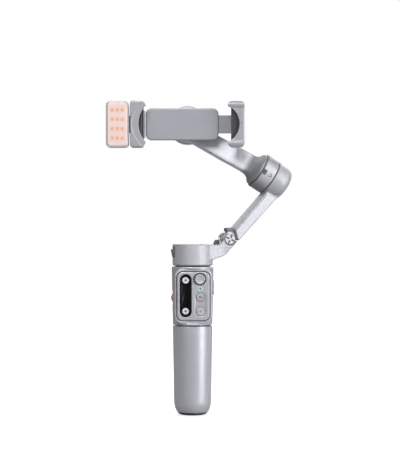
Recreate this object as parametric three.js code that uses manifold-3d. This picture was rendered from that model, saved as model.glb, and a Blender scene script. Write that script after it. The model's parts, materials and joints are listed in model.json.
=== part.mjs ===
// Folding three-axis phone gimbal: grip with tripod legs and telescopic rod, detachable remote,
// pan, tilt and roll stages, sprung phone clamp and clip-on fill light.
//
// Frame: origin at the centre of the grip's foot, +Z up the grip, the control panel faces -Y,
// +X to the panel's right. Millimetres.

import * as THREE from 'three';
import { mergeVertices } from 'three/addons/utils/BufferGeometryUtils.js';
import Module from 'manifold-3d';

const wasm = await Module();
wasm.setup();

// ---------------------------------------------------------------- driving dimensions

const GAP = 0.3; // running clearance between neighbouring pieces
const FINE = 32; // facets round a large turned piece
const COARSE = 16; // facets round a small one
const HIDDEN = 20; // facets round a piece inside the housings

const grip = { footRadius: 7.5, endHeight: 14.5, endRadius: 16.4, topRadius: 18.3, topZ: 130.1,
  legTopZ: 79.5, cavityRadius: 15.9, boreRadius: 6.95, lidZ: 128.3 };
const leg = { pinRadius: 15, pinZ: 76.1, topZ: 78.1, footTopZ: 1.9, floorZ: 7, innerRadius: 13.5 };
const ear = { radius: 1.5, halfWidth: 2.5, slotY: -16.8 };
const legBoss = { radius: 1.6, innerX: 3.1, outerX: 4.7 };
const legTurns = { front: 0, right: 120, left: 240 };
const rod = { wall: 0.7, guideRadius: 7.6, outerRadius: 6.65, innerRadius: 5.65, bottomZ: 27 };
const wheel = { x: -13.5, z: 102.7, radius: 5.6, halfWidth: 2.5, teeth: 22 };
const key = { lowZ: 105, highZ: 118, halfWidth: 2.5 };
const trigger = { pinY: 15.5, pinZ: 119, halfWidth: 6 };

// The remote, seen from the front: x from left to right, z from low to high.
const remote = { x0: -13.4, x1: 14.9, z0: 83.4, z1: 125.6, corner: 4.8, frontY: -18.2, seamY: -16.3,
  backY: -11.1 };
const buttonBackY = -14.4;
const strip = { x0: -11, x1: -0.9, z0: 86.4, z1: 123.6 };
const ringButtons = { x: -6, lowZ: 91.6, highZ: 118.4, radius: 2.8 };
const stick = { x: 6.4, z: 119.4, wellRadius: 5.5, capRadius: 4.1, pivotY: -15.8 };
const modeButton = { x: 7, z: 103.8, radius: 3.5 };
const recordButton = { x: 7, z: 91.6, radius: 3.8 };
const lamp = { x: 6.9, z: 111.1, radius: 0.6 };

const pan = { radius: 17.7, bottomZ: 130.9, topZ: 149.7, cavityRadius: 15.6, cavityTopZ: 147.6 };

// Arm plane: a vertical plane through the pan axis. Distances r are measured out from the pan axis.
const planeTurn = THREE.MathUtils.degToRad(15);
const armHalfDepth = 9.5;
const hinge = { r: 31.7, z: 154, discRadius: 4.7, socketRadius: 5.1, pinRadius: 1.6 };
const neck = { frontY: -6.2, backY: 2 };
const neckSweep = { radius: 11.4, from: 72, to: 222, room: 1 };

// Tilt axis: leans up from the arm plane's outer end towards the phone.
const tiltLean = THREE.MathUtils.degToRad(31.6);
const drum = { r: 70.8, z: 209, radius: 16.2, length: 12.2, cavityRadius: 14.6, shaftRadius: 2.4 };

// Clamp: centred on the roll axis, where the tilt axis crosses it.
const clamp = { x: -4.6, y: -1.2, z: 255.5, lowZ: -20.9, highZ: 19.7, grip: 38.4 };
const rightJaw = { outerX: 50.1, tipX: 35.4, arcX: 28.5, arcRadius: 17.1 };
const leftJaw = { outerX: -50, tipX: -36.1, cutX: -42.8 };
const light = { x0: -71.3, x1: -51.2, z0: -21.2, z1: 19.7, corner: 4, frontY: -8.4, backY: 4.6 };
const rollMotor = { radius: 17, frontY: 18.4, backY: 34 };

// ---------------------------------------------------------------- solids

function toManifold(geometry) {
  const bare = geometry.clone();
  bare.deleteAttribute('normal');
  bare.deleteAttribute('uv');
  const merged = mergeVertices(bare, 1e-4);
  const index = merged.index.array;
  const kept = [];
  for (let i = 0; i < index.length; i += 3) {
    const [a, b, c] = [index[i], index[i + 1], index[i + 2]];
    if (a !== b && b !== c && c !== a) kept.push(a, b, c);
  }
  return new wasm.Manifold(new wasm.Mesh({
    numProp: 3,
    vertProperties: new Float32Array(merged.attributes.position.array),
    triVerts: new Uint32Array(kept),
  }));
}

function fromManifold(manifold) {
  const mesh = manifold.getMesh();
  const geometry = new THREE.BufferGeometry();
  geometry.setAttribute('position', new THREE.BufferAttribute(mesh.vertProperties, 3));
  geometry.setIndex(new THREE.BufferAttribute(mesh.triVerts, 1));
  return geometry;
}

function combine(method, first, others) {
  return fromManifold(others.reduce((sum, next) => sum[method](toManifold(next)), toManifold(first)));
}

const join = (first, ...others) => combine('add', first, others);
const cut = (first, ...others) => combine('subtract', first, others);
const overlap = (first, ...others) => combine('intersect', first, others);

// ---------------------------------------------------------------- shapes

function box([x0, x1], [y0, y1], [z0, z1]) {
  return new THREE.BoxGeometry(x1 - x0, y1 - y0, z1 - z0)
    .translate((x0 + x1) / 2, (y0 + y1) / 2, (z0 + z1) / 2);
}

// A turned piece: profile of [radius, height] points about Z.
function turned(profile, facets = FINE) {
  return new THREE.LatheGeometry(profile.map(([r, z]) => new THREE.Vector2(r, z)), facets)
    .rotateX(Math.PI / 2);
}

// A turned ring with a bore. The profile is closed by repeating its first point.
function ring(boreRadius, outerRadius, z0, z1, facets = FINE) {
  return turned([[boreRadius, z0], [outerRadius, z0], [outerRadius, z1], [boreRadius, z1],
    [boreRadius, z0]], facets);
}

// A round bar between two points.
function bar(radius, from, to, facets = COARSE) {
  const start = new THREE.Vector3(...from);
  const end = new THREE.Vector3(...to);
  const span = end.clone().sub(start);
  const turn = new THREE.Quaternion().setFromUnitVectors(
    new THREE.Vector3(0, 1, 0), span.clone().normalize());
  return new THREE.CylinderGeometry(radius, radius, span.length(), facets)
    .applyQuaternion(turn)
    .translate(...start.add(end).multiplyScalar(0.5).toArray());
}

// Turns a piece made about +Z so that it points to the back, +Y.
const facingBack = (geometry) => geometry.rotateX(-Math.PI / 2);

// A front-view outline (x, z), cut from material between two depths, with an optional edge bevel.
function plate(outline, y0, y1, bevel = 0) {
  const geometry = new THREE.ExtrudeGeometry(outline, {
    depth: y1 - y0 - 2 * bevel,
    bevelEnabled: bevel > 0,
    bevelThickness: bevel,
    bevelSize: bevel,
    bevelOffset: -bevel,
    bevelSegments: 1,
    curveSegments: 5,
  });
  return geometry.rotateX(Math.PI / 2).translate(0, y1 - bevel, 0);
}

// A side-view outline (y, z), cut from material between two x positions.
function sidePlate(outline, x0, x1, bevel = 0) {
  return plate(outline, -x1, -x0, bevel).rotateZ(Math.PI / 2);
}

function outlineOf(points) {
  return new THREE.Shape(points.map(([x, y]) => new THREE.Vector2(x, y)));
}

function roundedRect(x0, x1, y0, y1, radius) {
  const shape = new THREE.Shape();
  shape.moveTo(x0 + radius, y0);
  shape.lineTo(x1 - radius, y0);
  shape.absarc(x1 - radius, y0 + radius, radius, -Math.PI / 2, 0);
  shape.lineTo(x1, y1 - radius);
  shape.absarc(x1 - radius, y1 - radius, radius, 0, Math.PI / 2);
  shape.lineTo(x0 + radius, y1);
  shape.absarc(x0 + radius, y1 - radius, radius, Math.PI / 2, Math.PI);
  shape.lineTo(x0, y0 + radius);
  shape.absarc(x0 + radius, y0 + radius, radius, Math.PI, 1.5 * Math.PI);
  return shape;
}

function pill(x0, x1, z0, z1) {
  return roundedRect(x0, x1, z0, z1, (x1 - x0) / 2 - 0.01);
}

// A closed skin through a row of sections, each a squared-off oval at a height z.
function loft(sections, facets = 36) {
  const positions = [];
  const index = [];
  for (const { z, y, halfX, halfY, power } of sections) {
    for (let i = 0; i < facets; i += 1) {
      const angle = (2 * Math.PI * i) / facets;
      const squared = (value) => Math.sign(value) * Math.abs(value) ** (2 / power);
      positions.push(halfX * squared(Math.cos(angle)), y + halfY * squared(Math.sin(angle)), z);
    }
  }
  for (let s = 0; s < sections.length - 1; s += 1) {
    for (let i = 0; i < facets; i += 1) {
      const [a, b] = [s * facets + i, s * facets + ((i + 1) % facets)];
      index.push(a, b, b + facets, a, b + facets, a + facets);
    }
  }
  const last = (sections.length - 1) * facets;
  for (let i = 1; i < facets - 1; i += 1) {
    index.push(0, i + 1, i);
    index.push(last, last + i, last + i + 1);
  }
  const geometry = new THREE.BufferGeometry();
  geometry.setAttribute('position', new THREE.Float32BufferAttribute(positions, 3));
  geometry.setIndex(index);
  return geometry;
}

// ---------------------------------------------------------------- materials

const paint = (color, roughness, metalness) => new THREE.MeshStandardMaterial({ color, roughness, metalness });
const finish = {
  shell: paint(0xb4b4be, 0.42, 0.35),
  frame: paint(0x9a9aa4, 0.45, 0.35),
  black: paint(0x0c0c0f, 0.12, 0),
  dark: paint(0x2a2a2e, 0.6, 0),
  rubber: paint(0x242426, 0.85, 0),
  steel: paint(0x8c8c90, 0.3, 1),
  button: paint(0xd2d2d8, 0.4, 0),
  wheel: paint(0xd08070, 0.5, 0),
  board: paint(0x1f5c38, 0.6, 0),
  cell: paint(0x3a5f8c, 0.6, 0),
  coil: paint(0xa86438, 0.5, 0.6),
  diffuser: paint(0xf0e2e2, 0.35, 0),
  lamp: paint(0x70d098, 0.3, 0),
};

// ---------------------------------------------------------------- frames

const gimbal = new THREE.Group();

const armFrame = new THREE.Group();
armFrame.rotation.z = planeTurn;
gimbal.add(armFrame);

// Local +Z runs along the tilt axis from the drum towards the phone.
const tiltFrame = new THREE.Group();
tiltFrame.position.set(drum.r, 0, drum.z);
tiltFrame.rotation.y = tiltLean - Math.PI / 2;
armFrame.add(tiltFrame);

const clampFrame = new THREE.Group();
clampFrame.position.set(clamp.x, clamp.y, clamp.z);
gimbal.add(clampFrame);
gimbal.updateMatrixWorld(true);

function between(geometry, from, to) {
  const matrix = to.matrixWorld.clone().invert().multiply(from.matrixWorld);
  return geometry.clone().applyMatrix4(matrix);
}

function add(frame, name, material, geometry) {
  const mesh = new THREE.Mesh(fromManifold(toManifold(geometry)), material.clone());
  mesh.name = name;
  frame.add(mesh);
}

// ---------------------------------------------------------------- grip

// Outside radius of the grip: a rounded foot, then a slow taper up to the collar.
function gripRadius(z) {
  if (z >= grip.endHeight) {
    const rise = (z - grip.endHeight) / (126 - grip.endHeight);
    return grip.endRadius + (grip.topRadius - grip.endRadius) * Math.min(rise, 1);
  }
  const drop = (grip.endHeight - z) / grip.endHeight;
  return grip.footRadius + (grip.endRadius - grip.footRadius) * Math.sqrt(1 - drop * drop);
}

function gripProfile(z0, z1) {
  const heights = [0, 0.5, 1.2, 2.2, 4, 6.5, 10, 14.5, 50, 79, 105, 126].filter((z) => z > z0 && z < z1);
  return [z0, ...heights, z1].map((z) => [gripRadius(z), z]);
}

function makeGripShells() {
  const { legTopZ, topZ, cavityRadius, lidZ } = grip;
  const panelFlat = -16.8;
  const floorY = -10.2;
  const panelOutline = roundedRect(-15.5, 16.9, 80.6, 128.4, 7);
  const column = turned([[0, legTopZ], ...gripProfile(legTopZ, topZ - 0.6),
    [grip.topRadius - 0.6, topZ], [0, topZ]]);
  const body = cut(join(column, plate(panelOutline, panelFlat, -8)),
    plate(panelOutline, -30, panelFlat));
  const core = turned([[0, legTopZ - 1], [cavityRadius, legTopZ - 1], [cavityRadius, lidZ], [0, lidZ]]);
  const cavity = overlap(core, box([-20, 20], [-8.4, 20], [70, 140]));
  const pocket = plate(roundedRect(remote.x0 - 0.5, remote.x1 + 0.5, remote.z0 - 0.5, remote.z1 + 0.5,
    remote.corner + 0.5), -30, floorY);
  const wheelEars = [-1, 1].map((side) => box([-15.9, -11.9], side < 0 ? [-5.2, -3.4] : [3.4, 5.2],
    [wheel.z - 2, wheel.z + 2]));
  const openings = [
    pocket,
    turned([[0, legTopZ - 1], [cavityRadius, legTopZ - 1], [cavityRadius, 82.3], [0, 82.3]]),
    bar(grip.boreRadius + GAP, [0, 0, 125], [0, 0, 140], FINE),
    box([-25, -12.2], [-3.1, 3.1], [wheel.z - 6, wheel.z + 6]),
    bar(1.25, [wheel.x, -4.8, wheel.z], [wheel.x, 4.8, wheel.z]),
    box([14, 25], [-key.halfWidth - GAP, key.halfWidth + GAP], [key.lowZ - GAP, key.highZ + GAP]),
    box([-trigger.halfWidth - 0.4, trigger.halfWidth + 0.4], [8, 25], [99, 121]),
    bar(1, [-8, trigger.pinY, trigger.pinZ], [8, trigger.pinY, trigger.pinZ]),
  ];
  const shell = cut(join(cut(body, cavity), ...wheelEars), ...openings);
  add(gimbal, 'grip_front_shell', finish.shell,
    overlap(shell, box([-30, 30], [-30, -GAP / 2], [70, 140])));
  add(gimbal, 'grip_rear_shell', finish.shell,
    overlap(shell, box([-30, 30], [GAP / 2, 30], [70, 140])));
}

function makeGripInsides() {
  const flangeZ = grip.lidZ - GAP;
  add(gimbal, 'guide_tube', finish.steel,
    join(ring(grip.boreRadius, rod.guideRadius, rod.bottomZ, flangeZ),
      overlap(ring(grip.boreRadius, 14.5, flangeZ - 1.4, flangeZ), box([-20, 20], [-8.1, 20], [100, 140]))));
  add(gimbal, 'base_plug', finish.dark,
    turned([[0, 24.6], [7.6, 24.6], [7.6, 26.7], [6.6, 26.7], [6.6, 31], [0, 31]], HIDDEN));

  const sector = new THREE.Shape();
  const [start, end] = [35, 150].map(THREE.MathUtils.degToRad);
  sector.absarc(0, 0, 13.2, start, end);
  sector.absarc(0, 0, 8.2, end, start, true);
  add(gimbal, 'battery_pack', finish.cell,
    new THREE.ExtrudeGeometry(sector, { depth: 43.4, bevelEnabled: false, curveSegments: 14 })
      .translate(0, 0, 82.7));
  add(gimbal, 'main_board', finish.board, box([12, 13.2], [-7.5, 4.6], [84, 126.2]));

  const contacts = [-3.5, -0.5, 2.5, 5.5].map((x) => bar(0.7, [x, -10.6, 86.6], [x, -11.02, 86.6], 12));
  add(gimbal, 'remote_dock', finish.dark, join(box([-6, 8], [-10.9, -10.25], [84.4, 88.8]), ...contacts));
}

function makeLegs() {
  const { pinRadius, pinZ, topZ, footTopZ, floorZ, innerRadius } = leg;
  const apex = GAP / 2 / Math.sin(Math.PI / 3);
  const reach = 40;
  const wedge = new THREE.ExtrudeGeometry(outlineOf([
    [0, -apex],
    [-reach * Math.sin(Math.PI / 3), -apex - reach * Math.cos(Math.PI / 3)],
    [reach * Math.sin(Math.PI / 3), -apex - reach * Math.cos(Math.PI / 3)],
  ]), { depth: 100, bevelEnabled: false }).translate(0, 0, -5);

  const pinHalf = legBoss.outerX - 0.2;
  const shellRing = turned([[0, footTopZ + GAP], ...gripProfile(footTopZ + GAP, topZ), [innerRadius, topZ],
    [innerRadius, floorZ], [0, floorZ], [0, footTopZ + GAP]]);
  const bosses = [-1, 1].map((side) => bar(legBoss.radius, [side * legBoss.innerX, -pinRadius, pinZ],
    [side * legBoss.outerX, -pinRadius, pinZ]));
  const slot = box([-ear.halfWidth - 0.4, ear.halfWidth + 0.4], [ear.slotY, -11], [72, 80]);
  const pinHole = bar(1.05, [-pinHalf - 0.2, -pinRadius, pinZ], [pinHalf + 0.2, -pinRadius, pinZ]);
  const shell = cut(join(overlap(shellRing, wedge), ...bosses), slot, pinHole);
  const foot = overlap(turned([[0, 0], ...gripProfile(0, footTopZ), [0, footTopZ]]), wedge);
  const pin = bar(0.75, [-pinHalf, -pinRadius, pinZ], [pinHalf, -pinRadius, pinZ], 16);
  const { halfWidth } = ear;
  const lug = cut(join(
    box([-halfWidth, halfWidth], [-pinRadius, -10], [pinZ - ear.radius, pinZ + ear.radius]),
    bar(ear.radius, [-halfWidth, -pinRadius, pinZ], [halfWidth, -pinRadius, pinZ]),
  ), pinHole);

  const turnedTo = (geometry, degrees) => geometry.clone().rotateZ(THREE.MathUtils.degToRad(degrees));
  for (const [side, degrees] of Object.entries(legTurns)) {
    add(gimbal, `${side}_leg`, finish.shell, turnedTo(shell, degrees));
    add(gimbal, `${side}_foot`, finish.rubber, turnedTo(foot, degrees));
    add(gimbal, `${side}_leg_pin`, finish.steel, turnedTo(pin, degrees));
  }
  const hub = join(ring(rod.guideRadius + GAP, 11.3, 60, 80), ring(rod.guideRadius + GAP, 15.4, 79.6, 82));
  add(gimbal, 'leg_hub', finish.dark,
    join(hub, ...Object.values(legTurns).map((degrees) => turnedTo(lug, degrees))));
}

function makeGripControls() {
  const rim = [];
  for (let i = 0; i < wheel.teeth * 2; i += 1) {
    const angle = (2 * Math.PI * i) / (wheel.teeth * 2);
    const radius = wheel.radius - (i % 2 ? 0.35 : 0);
    rim.push([wheel.x + radius * Math.cos(angle), wheel.z + radius * Math.sin(angle)]);
  }
  const pinEnds = [[wheel.x, -4.6, wheel.z], [wheel.x, 4.6, wheel.z]];
  add(gimbal, 'zoom_wheel', finish.wheel,
    cut(plate(outlineOf(rim), -wheel.halfWidth, wheel.halfWidth), bar(1.25, ...pinEnds)));
  add(gimbal, 'wheel_pin', finish.steel, bar(0.95, ...pinEnds, 16));

  add(gimbal, 'side_button', finish.frame,
    sidePlate(roundedRect(-key.halfWidth, key.halfWidth, key.lowZ, key.highZ, 2.4), 15.2, 18.8, 0.5));

  const rocker = new THREE.Shape();
  rocker.moveTo(16.3, 99.8);
  rocker.quadraticCurveTo(21.4, 98.9, 21.6, 103);
  rocker.quadraticCurveTo(20.6, 112, 18.9, 119);
  rocker.lineTo(17.6, 120.5);
  rocker.lineTo(15.5, 120.5);
  rocker.lineTo(14, 119);
  rocker.lineTo(14.4, 117.4);
  rocker.lineTo(16.3, 115);
  const { pinY, pinZ, halfWidth } = trigger;
  add(gimbal, 'trigger', finish.dark, cut(sidePlate(rocker, -halfWidth, halfWidth, 0.6),
    bar(1, [-halfWidth - 1, pinY, pinZ], [halfWidth + 1, pinY, pinZ])));
  add(gimbal, 'trigger_pin', finish.steel, bar(0.7, [-7.7, pinY, pinZ], [7.7, pinY, pinZ], 16));
}

// ---------------------------------------------------------------- remote

function makeRemote() {
  const { x0, x1, z0, z1, corner, frontY, seamY, backY } = remote;
  const outline = (inset) => roundedRect(x0 + inset, x1 - inset, z0 + inset, z1 - inset, corner - inset);
  const wall = 1.2;
  add(gimbal, 'remote_tray', finish.frame,
    cut(plate(outline(0), seamY + 0.1, backY, 0.4), plate(outline(wall), seamY - 1, backY - wall)));

  const hole = (radius, x, z) => bar(radius, [x, frontY - 2, z], [x, backY - wall - 0.2, z]);
  const ringHoles = [ringButtons.lowZ, ringButtons.highZ]
    .map((z) => hole(ringButtons.radius + 0.25, ringButtons.x, z));
  add(gimbal, 'remote_face', finish.shell, cut(plate(outline(0), frontY, seamY, 0.5),
    plate(pill(strip.x0 - 0.15, strip.x1 + 0.15, strip.z0 - 0.15, strip.z1 + 0.15), frontY - 2, -17.5),
    ...ringHoles,
    plate(pill(2.1, 11.9, 86.7, 108.7), frontY - 2, frontY + 0.4),
    hole(stick.wellRadius, stick.x, stick.z),
    hole(modeButton.radius + 0.25, modeButton.x, modeButton.z),
    hole(recordButton.radius + 0.25, recordButton.x, recordButton.z),
    hole(lamp.radius + 0.2, lamp.x, lamp.z)));
  add(gimbal, 'touch_strip', finish.black,
    cut(plate(pill(strip.x0, strip.x1, strip.z0, strip.z1), frontY - 0.15, -17.55), ...ringHoles));
  add(gimbal, 'remote_board', finish.board,
    cut(plate(outline(1.8), -13.3, -12.5), bar(6.4, [stick.x, -20, stick.z], [stick.x, -10, stick.z])));
  add(gimbal, 'status_lamp', finish.lamp,
    bar(lamp.radius, [lamp.x, frontY - 0.1, lamp.z], [lamp.x, buttonBackY, lamp.z], 16));

  const addButton = (name, { radius, x, z }, dimple) => add(gimbal, name, finish.button,
    cut(bar(radius, [x, frontY - 0.35, z], [x, buttonBackY, z]),
      bar(dimple, [x, frontY - 1, z], [x, frontY + 0.05, z], 16)));
  addButton('upper_ring_button', { ...ringButtons, z: ringButtons.highZ }, 0.8);
  addButton('lower_ring_button', { ...ringButtons, z: ringButtons.lowZ }, 0.8);
  addButton('mode_button', modeButton, 1.2);
  addButton('record_button', recordButton, 1.5);

  // Stick: the cradle rocks up and down, and carries the cap, which rocks left and right.
  const facing = (geometry) => geometry.rotateX(Math.PI / 2).translate(stick.x, stick.pivotY, stick.z);
  add(gimbal, 'stick_cradle', finish.dark, facing(ring(2.3, 4.9, -0.5, 0.5, COARSE)));
  add(gimbal, 'stick_cap', finish.frame, facing(turned([[0, -0.5], [1.5, -0.5], [1.5, 2.9], [3.6, 3.1],
    [stick.capRadius, 3.6], [stick.capRadius, 4.1], [3.7, 4.5], [2.2, 4.25], [0, 4.1]], 28)));
}

// ---------------------------------------------------------------- telescopic rod and pan stage

function makeRod() {
  const { outerRadius, innerRadius, wall } = rod;
  add(gimbal, 'rod_outer_tube', finish.steel, ring(outerRadius - wall, outerRadius, 32, 127.4, HIDDEN));
  add(gimbal, 'rod_inner_tube', finish.steel, ring(innerRadius - wall, innerRadius, 33, 129.8, HIDDEN));
  add(gimbal, 'pan_base', finish.dark, turned([[0, 121.9], [4.6, 121.9], [4.6, 130.4], [15.3, 130.4],
    [15.3, 131.5], [4, 131.5], [4, 147], [0, 147]]));
  add(gimbal, 'pan_stator', finish.coil, ring(4.3, 12.4, 136, 145.6, HIDDEN));
}

function makePanStage() {
  const { radius, bottomZ, topZ, cavityRadius, cavityTopZ } = pan;
  const { r, z, socketRadius } = hinge;
  const cup = turned([[0, bottomZ], [radius, bottomZ], [radius, topZ - 0.9], [radius - 0.9, topZ], [0, topZ]]);
  const cavity = turned([[0, bottomZ - 1], [cavityRadius, bottomZ - 1], [cavityRadius, cavityTopZ],
    [0, cavityTopZ]]);

  const armOutline = new THREE.Shape();
  armOutline.moveTo(6, 149.2);
  armOutline.lineTo(19.5, 148.9);
  armOutline.quadraticCurveTo(22.6, 149.3, 24.4, 151.9);
  armOutline.quadraticCurveTo(25.6, 153.8, 27, z);
  armOutline.lineTo(r, z);
  armOutline.lineTo(38.2, 152.3);
  armOutline.quadraticCurveTo(37.2, 150.4, 34.2, 147.5);
  armOutline.lineTo(28.9, 141.9);
  armOutline.quadraticCurveTo(26.4, 139.4, 22.4, 138.2);
  armOutline.lineTo(16.1, 136.3);
  armOutline.lineTo(6, 135.4);
  const arm = plate(armOutline, -armHalfDepth, armHalfDepth);

  const socket = bar(socketRadius, [r, -12, z], [r, neck.backY + GAP, z], 32);
  const sweep = new THREE.Shape();
  sweep.absarc(r, z, neckSweep.radius, THREE.MathUtils.degToRad(neckSweep.from),
    THREE.MathUtils.degToRad(neckSweep.to));
  sweep.lineTo(r, z);
  const neckSlot = plate(sweep, neck.frontY - neckSweep.room, neck.backY + neckSweep.room);
  const rearBoss = bar(6, [r, neck.backY + GAP, z], [r, armHalfDepth, z], 32);
  const pinBore = bar(hinge.pinRadius + GAP, [r, -4, z], [r, armHalfDepth - 1, z]);
  const hookRecess = box([-20, -16.5], [-4, 4], [138.5, 147]);
  const bumperSeat = box([20.6, 28.6], [2.9, 9.3], [149.4, 156]);
  add(armFrame, 'pan_housing', finish.shell,
    cut(join(cut(join(cup, arm), socket, neckSlot), rearBoss), cavity, pinBore, hookRecess, bumperSeat));

  add(gimbal, 'pan_rotor', finish.steel, ring(13.1, 15.3, 136, 147.3, HIDDEN));
  add(armFrame, 'fold_hook', finish.frame, plate(outlineOf([[-16.7, 138.8], [-17.9, 138.8], [-19.1, 145],
    [-18.3, 145.4], [-17.3, 140.6], [-16.7, 140.3]]), -3.2, 3.2));
  add(armFrame, 'hinge_pin', finish.steel,
    bar(hinge.pinRadius, [r, -4.6, z], [r, armHalfDepth - 1.3, z], COARSE));
  add(armFrame, 'fold_bumper', finish.rubber,
    plate(outlineOf([[20.9, 149.7], [25.6, 149.7], [25.6, 153.4], [22.9, 153.4]]), 3.2, 9, 0.4));
}

// ---------------------------------------------------------------- folding arm

function makeFoldingArm() {
  const { r, z, discRadius } = hinge;
  const { radius, cavityRadius } = drum;
  const face = -armHalfDepth;

  const neckOutline = outlineOf([[28.4, 156.8], [30.2, 159.6], [30.2, 164.2], [35.7, 164.2], [35.7, 162.6],
    [37.5, 155.5], [37.8, 153.7], [33.2, 152.5]]);
  const knuckle = join(bar(discRadius, [r, face, z], [r, neck.backY, z], 32),
    plate(neckOutline, neck.frontY, neck.backY));
  const petals = [20, 110, 200, 290].map((degrees) => {
    const angle = THREE.MathUtils.degToRad(degrees);
    const petal = new THREE.Shape();
    petal.absellipse(2.55, 0, 1.35, 0.62, 0, 2 * Math.PI);
    return plate(petal, face - 1, face + 0.7).rotateY(-angle).translate(r, 0, z);
  });
  add(armFrame, 'hinge_knuckle', finish.shell,
    cut(knuckle, bar(hinge.pinRadius + GAP, [r, -5, z], [r, 4, z]), ...petals));
  add(armFrame, 'hinge_collar', finish.rubber,
    cut(box([29.4, 35.8], [neck.frontY - 0.7, neck.backY + 0.7], [160.8, 163.9]),
      box([29.9, 40], [neck.frontY - GAP / 2, neck.backY + GAP / 2], [160, 165])));

  const blade = outlineOf([[36.3, 162.8], [64.4, 194.2], [70, 201], [80, 201], [82.6, 199.2],
    [78.4, 194.4], [69.2, 184.4], [39.1, 152.2]]);
  const cap = turned([[0, -16.8], [8, -16.5], [11.2, -15.9], [13.4, -14.6], [14.9, -12.9], [15.8, -10.6],
    [radius, -7.5], [radius, -GAP / 2], [0, -GAP / 2]]);
  const hollow = turned([[0, -12.6], [12, -10.5], [cavityRadius, -7.6], [cavityRadius, 1], [0, 1]]);
  const toArm = (geometry) => between(geometry, tiltFrame, armFrame);
  add(armFrame, 'upper_arm', finish.shell,
    cut(join(plate(blade, face, armHalfDepth, 1), toArm(cap)), toArm(hollow)));
  add(tiltFrame, 'tilt_stator', finish.coil, turned([[2.9, -10], [11, -10], [14.2, -7.3], [14.2, -0.8],
    [2.9, -0.8], [2.9, -10]], HIDDEN));
}

// ---------------------------------------------------------------- tilt stage and roll arm

function makeTiltStage() {
  const { radius, length, cavityRadius, shaftRadius } = drum;
  const shaftEnd = -10.4;
  const body = turned([[0, shaftEnd], [shaftRadius, shaftEnd], [shaftRadius, 8.6], [cavityRadius, 8.6],
    [cavityRadius, GAP / 2], [radius, GAP / 2], [radius, length - 1], [radius - 1, length], [0, length]]);
  const latchSlot = box([-3.4, 0.6], [-20, 1.1 - radius], [8.8, 20]);
  add(tiltFrame, 'tilt_drum', finish.shell, cut(body, latchSlot));

  const stem = loft([
    { z: length + GAP, y: 0, halfX: 14.7, halfY: 14.7, power: 2 },
    { z: 14.3, y: 0, halfX: 14.7, halfY: 14.7, power: 2 },
    { z: 15.5, y: 0.2, halfX: 13.6, halfY: 13.4, power: 2 },
    { z: 16.8, y: 0.6, halfX: 11.9, halfY: 11.4, power: 2.2 },
    { z: 18.6, y: 1.2, halfX: 10.3, halfY: 9.2, power: 2.8 },
    { z: 21, y: 2, halfX: 9.2, halfY: 7, power: 4 },
    { z: 24, y: 3, halfX: 8.75, halfY: 5.7, power: 8 },
    { z: 34, y: 6.2, halfX: 8.75, halfY: 5.6, power: 8 },
    { z: 40, y: 10, halfX: 8.75, halfY: 5.5, power: 8 },
    { z: 66, y: 18.4, halfX: 8.75, halfY: 5.5, power: 8 },
    { z: 78, y: 22.6, halfX: 8.75, halfY: 5.5, power: 8 },
  ], 40);
  const housing = facingBack(turned([[0, rollMotor.frontY], [rollMotor.radius - 1, rollMotor.frontY],
    [rollMotor.radius, rollMotor.frontY + 1], [rollMotor.radius, rollMotor.backY], [0, rollMotor.backY]]));
  const hollow = facingBack(turned([[0, 20.4], [15.4, 20.4], [15.4, 40], [0, 40]]));
  const shaftHole = bar(2.9, [0, 10, 0], [0, 25, 0]);
  const flangeRoom = bar(14, [0, 5, 0], [0, rollMotor.frontY, 0], FINE);
  add(clampFrame, 'roll_arm', finish.shell,
    cut(join(between(stem, tiltFrame, clampFrame), housing), hollow, shaftHole, flangeRoom));
  add(clampFrame, 'roll_cover', finish.frame, facingBack(turned([[0, rollMotor.backY + 0.15],
    [rollMotor.radius, rollMotor.backY + 0.15], [rollMotor.radius, 35.2], [16, 36], [0, 36.6]])));
  add(clampFrame, 'roll_stator', finish.coil, facingBack(ring(2.9, 14.9, 21.2, 31, HIDDEN)));
}

// ---------------------------------------------------------------- clamp and light

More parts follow.
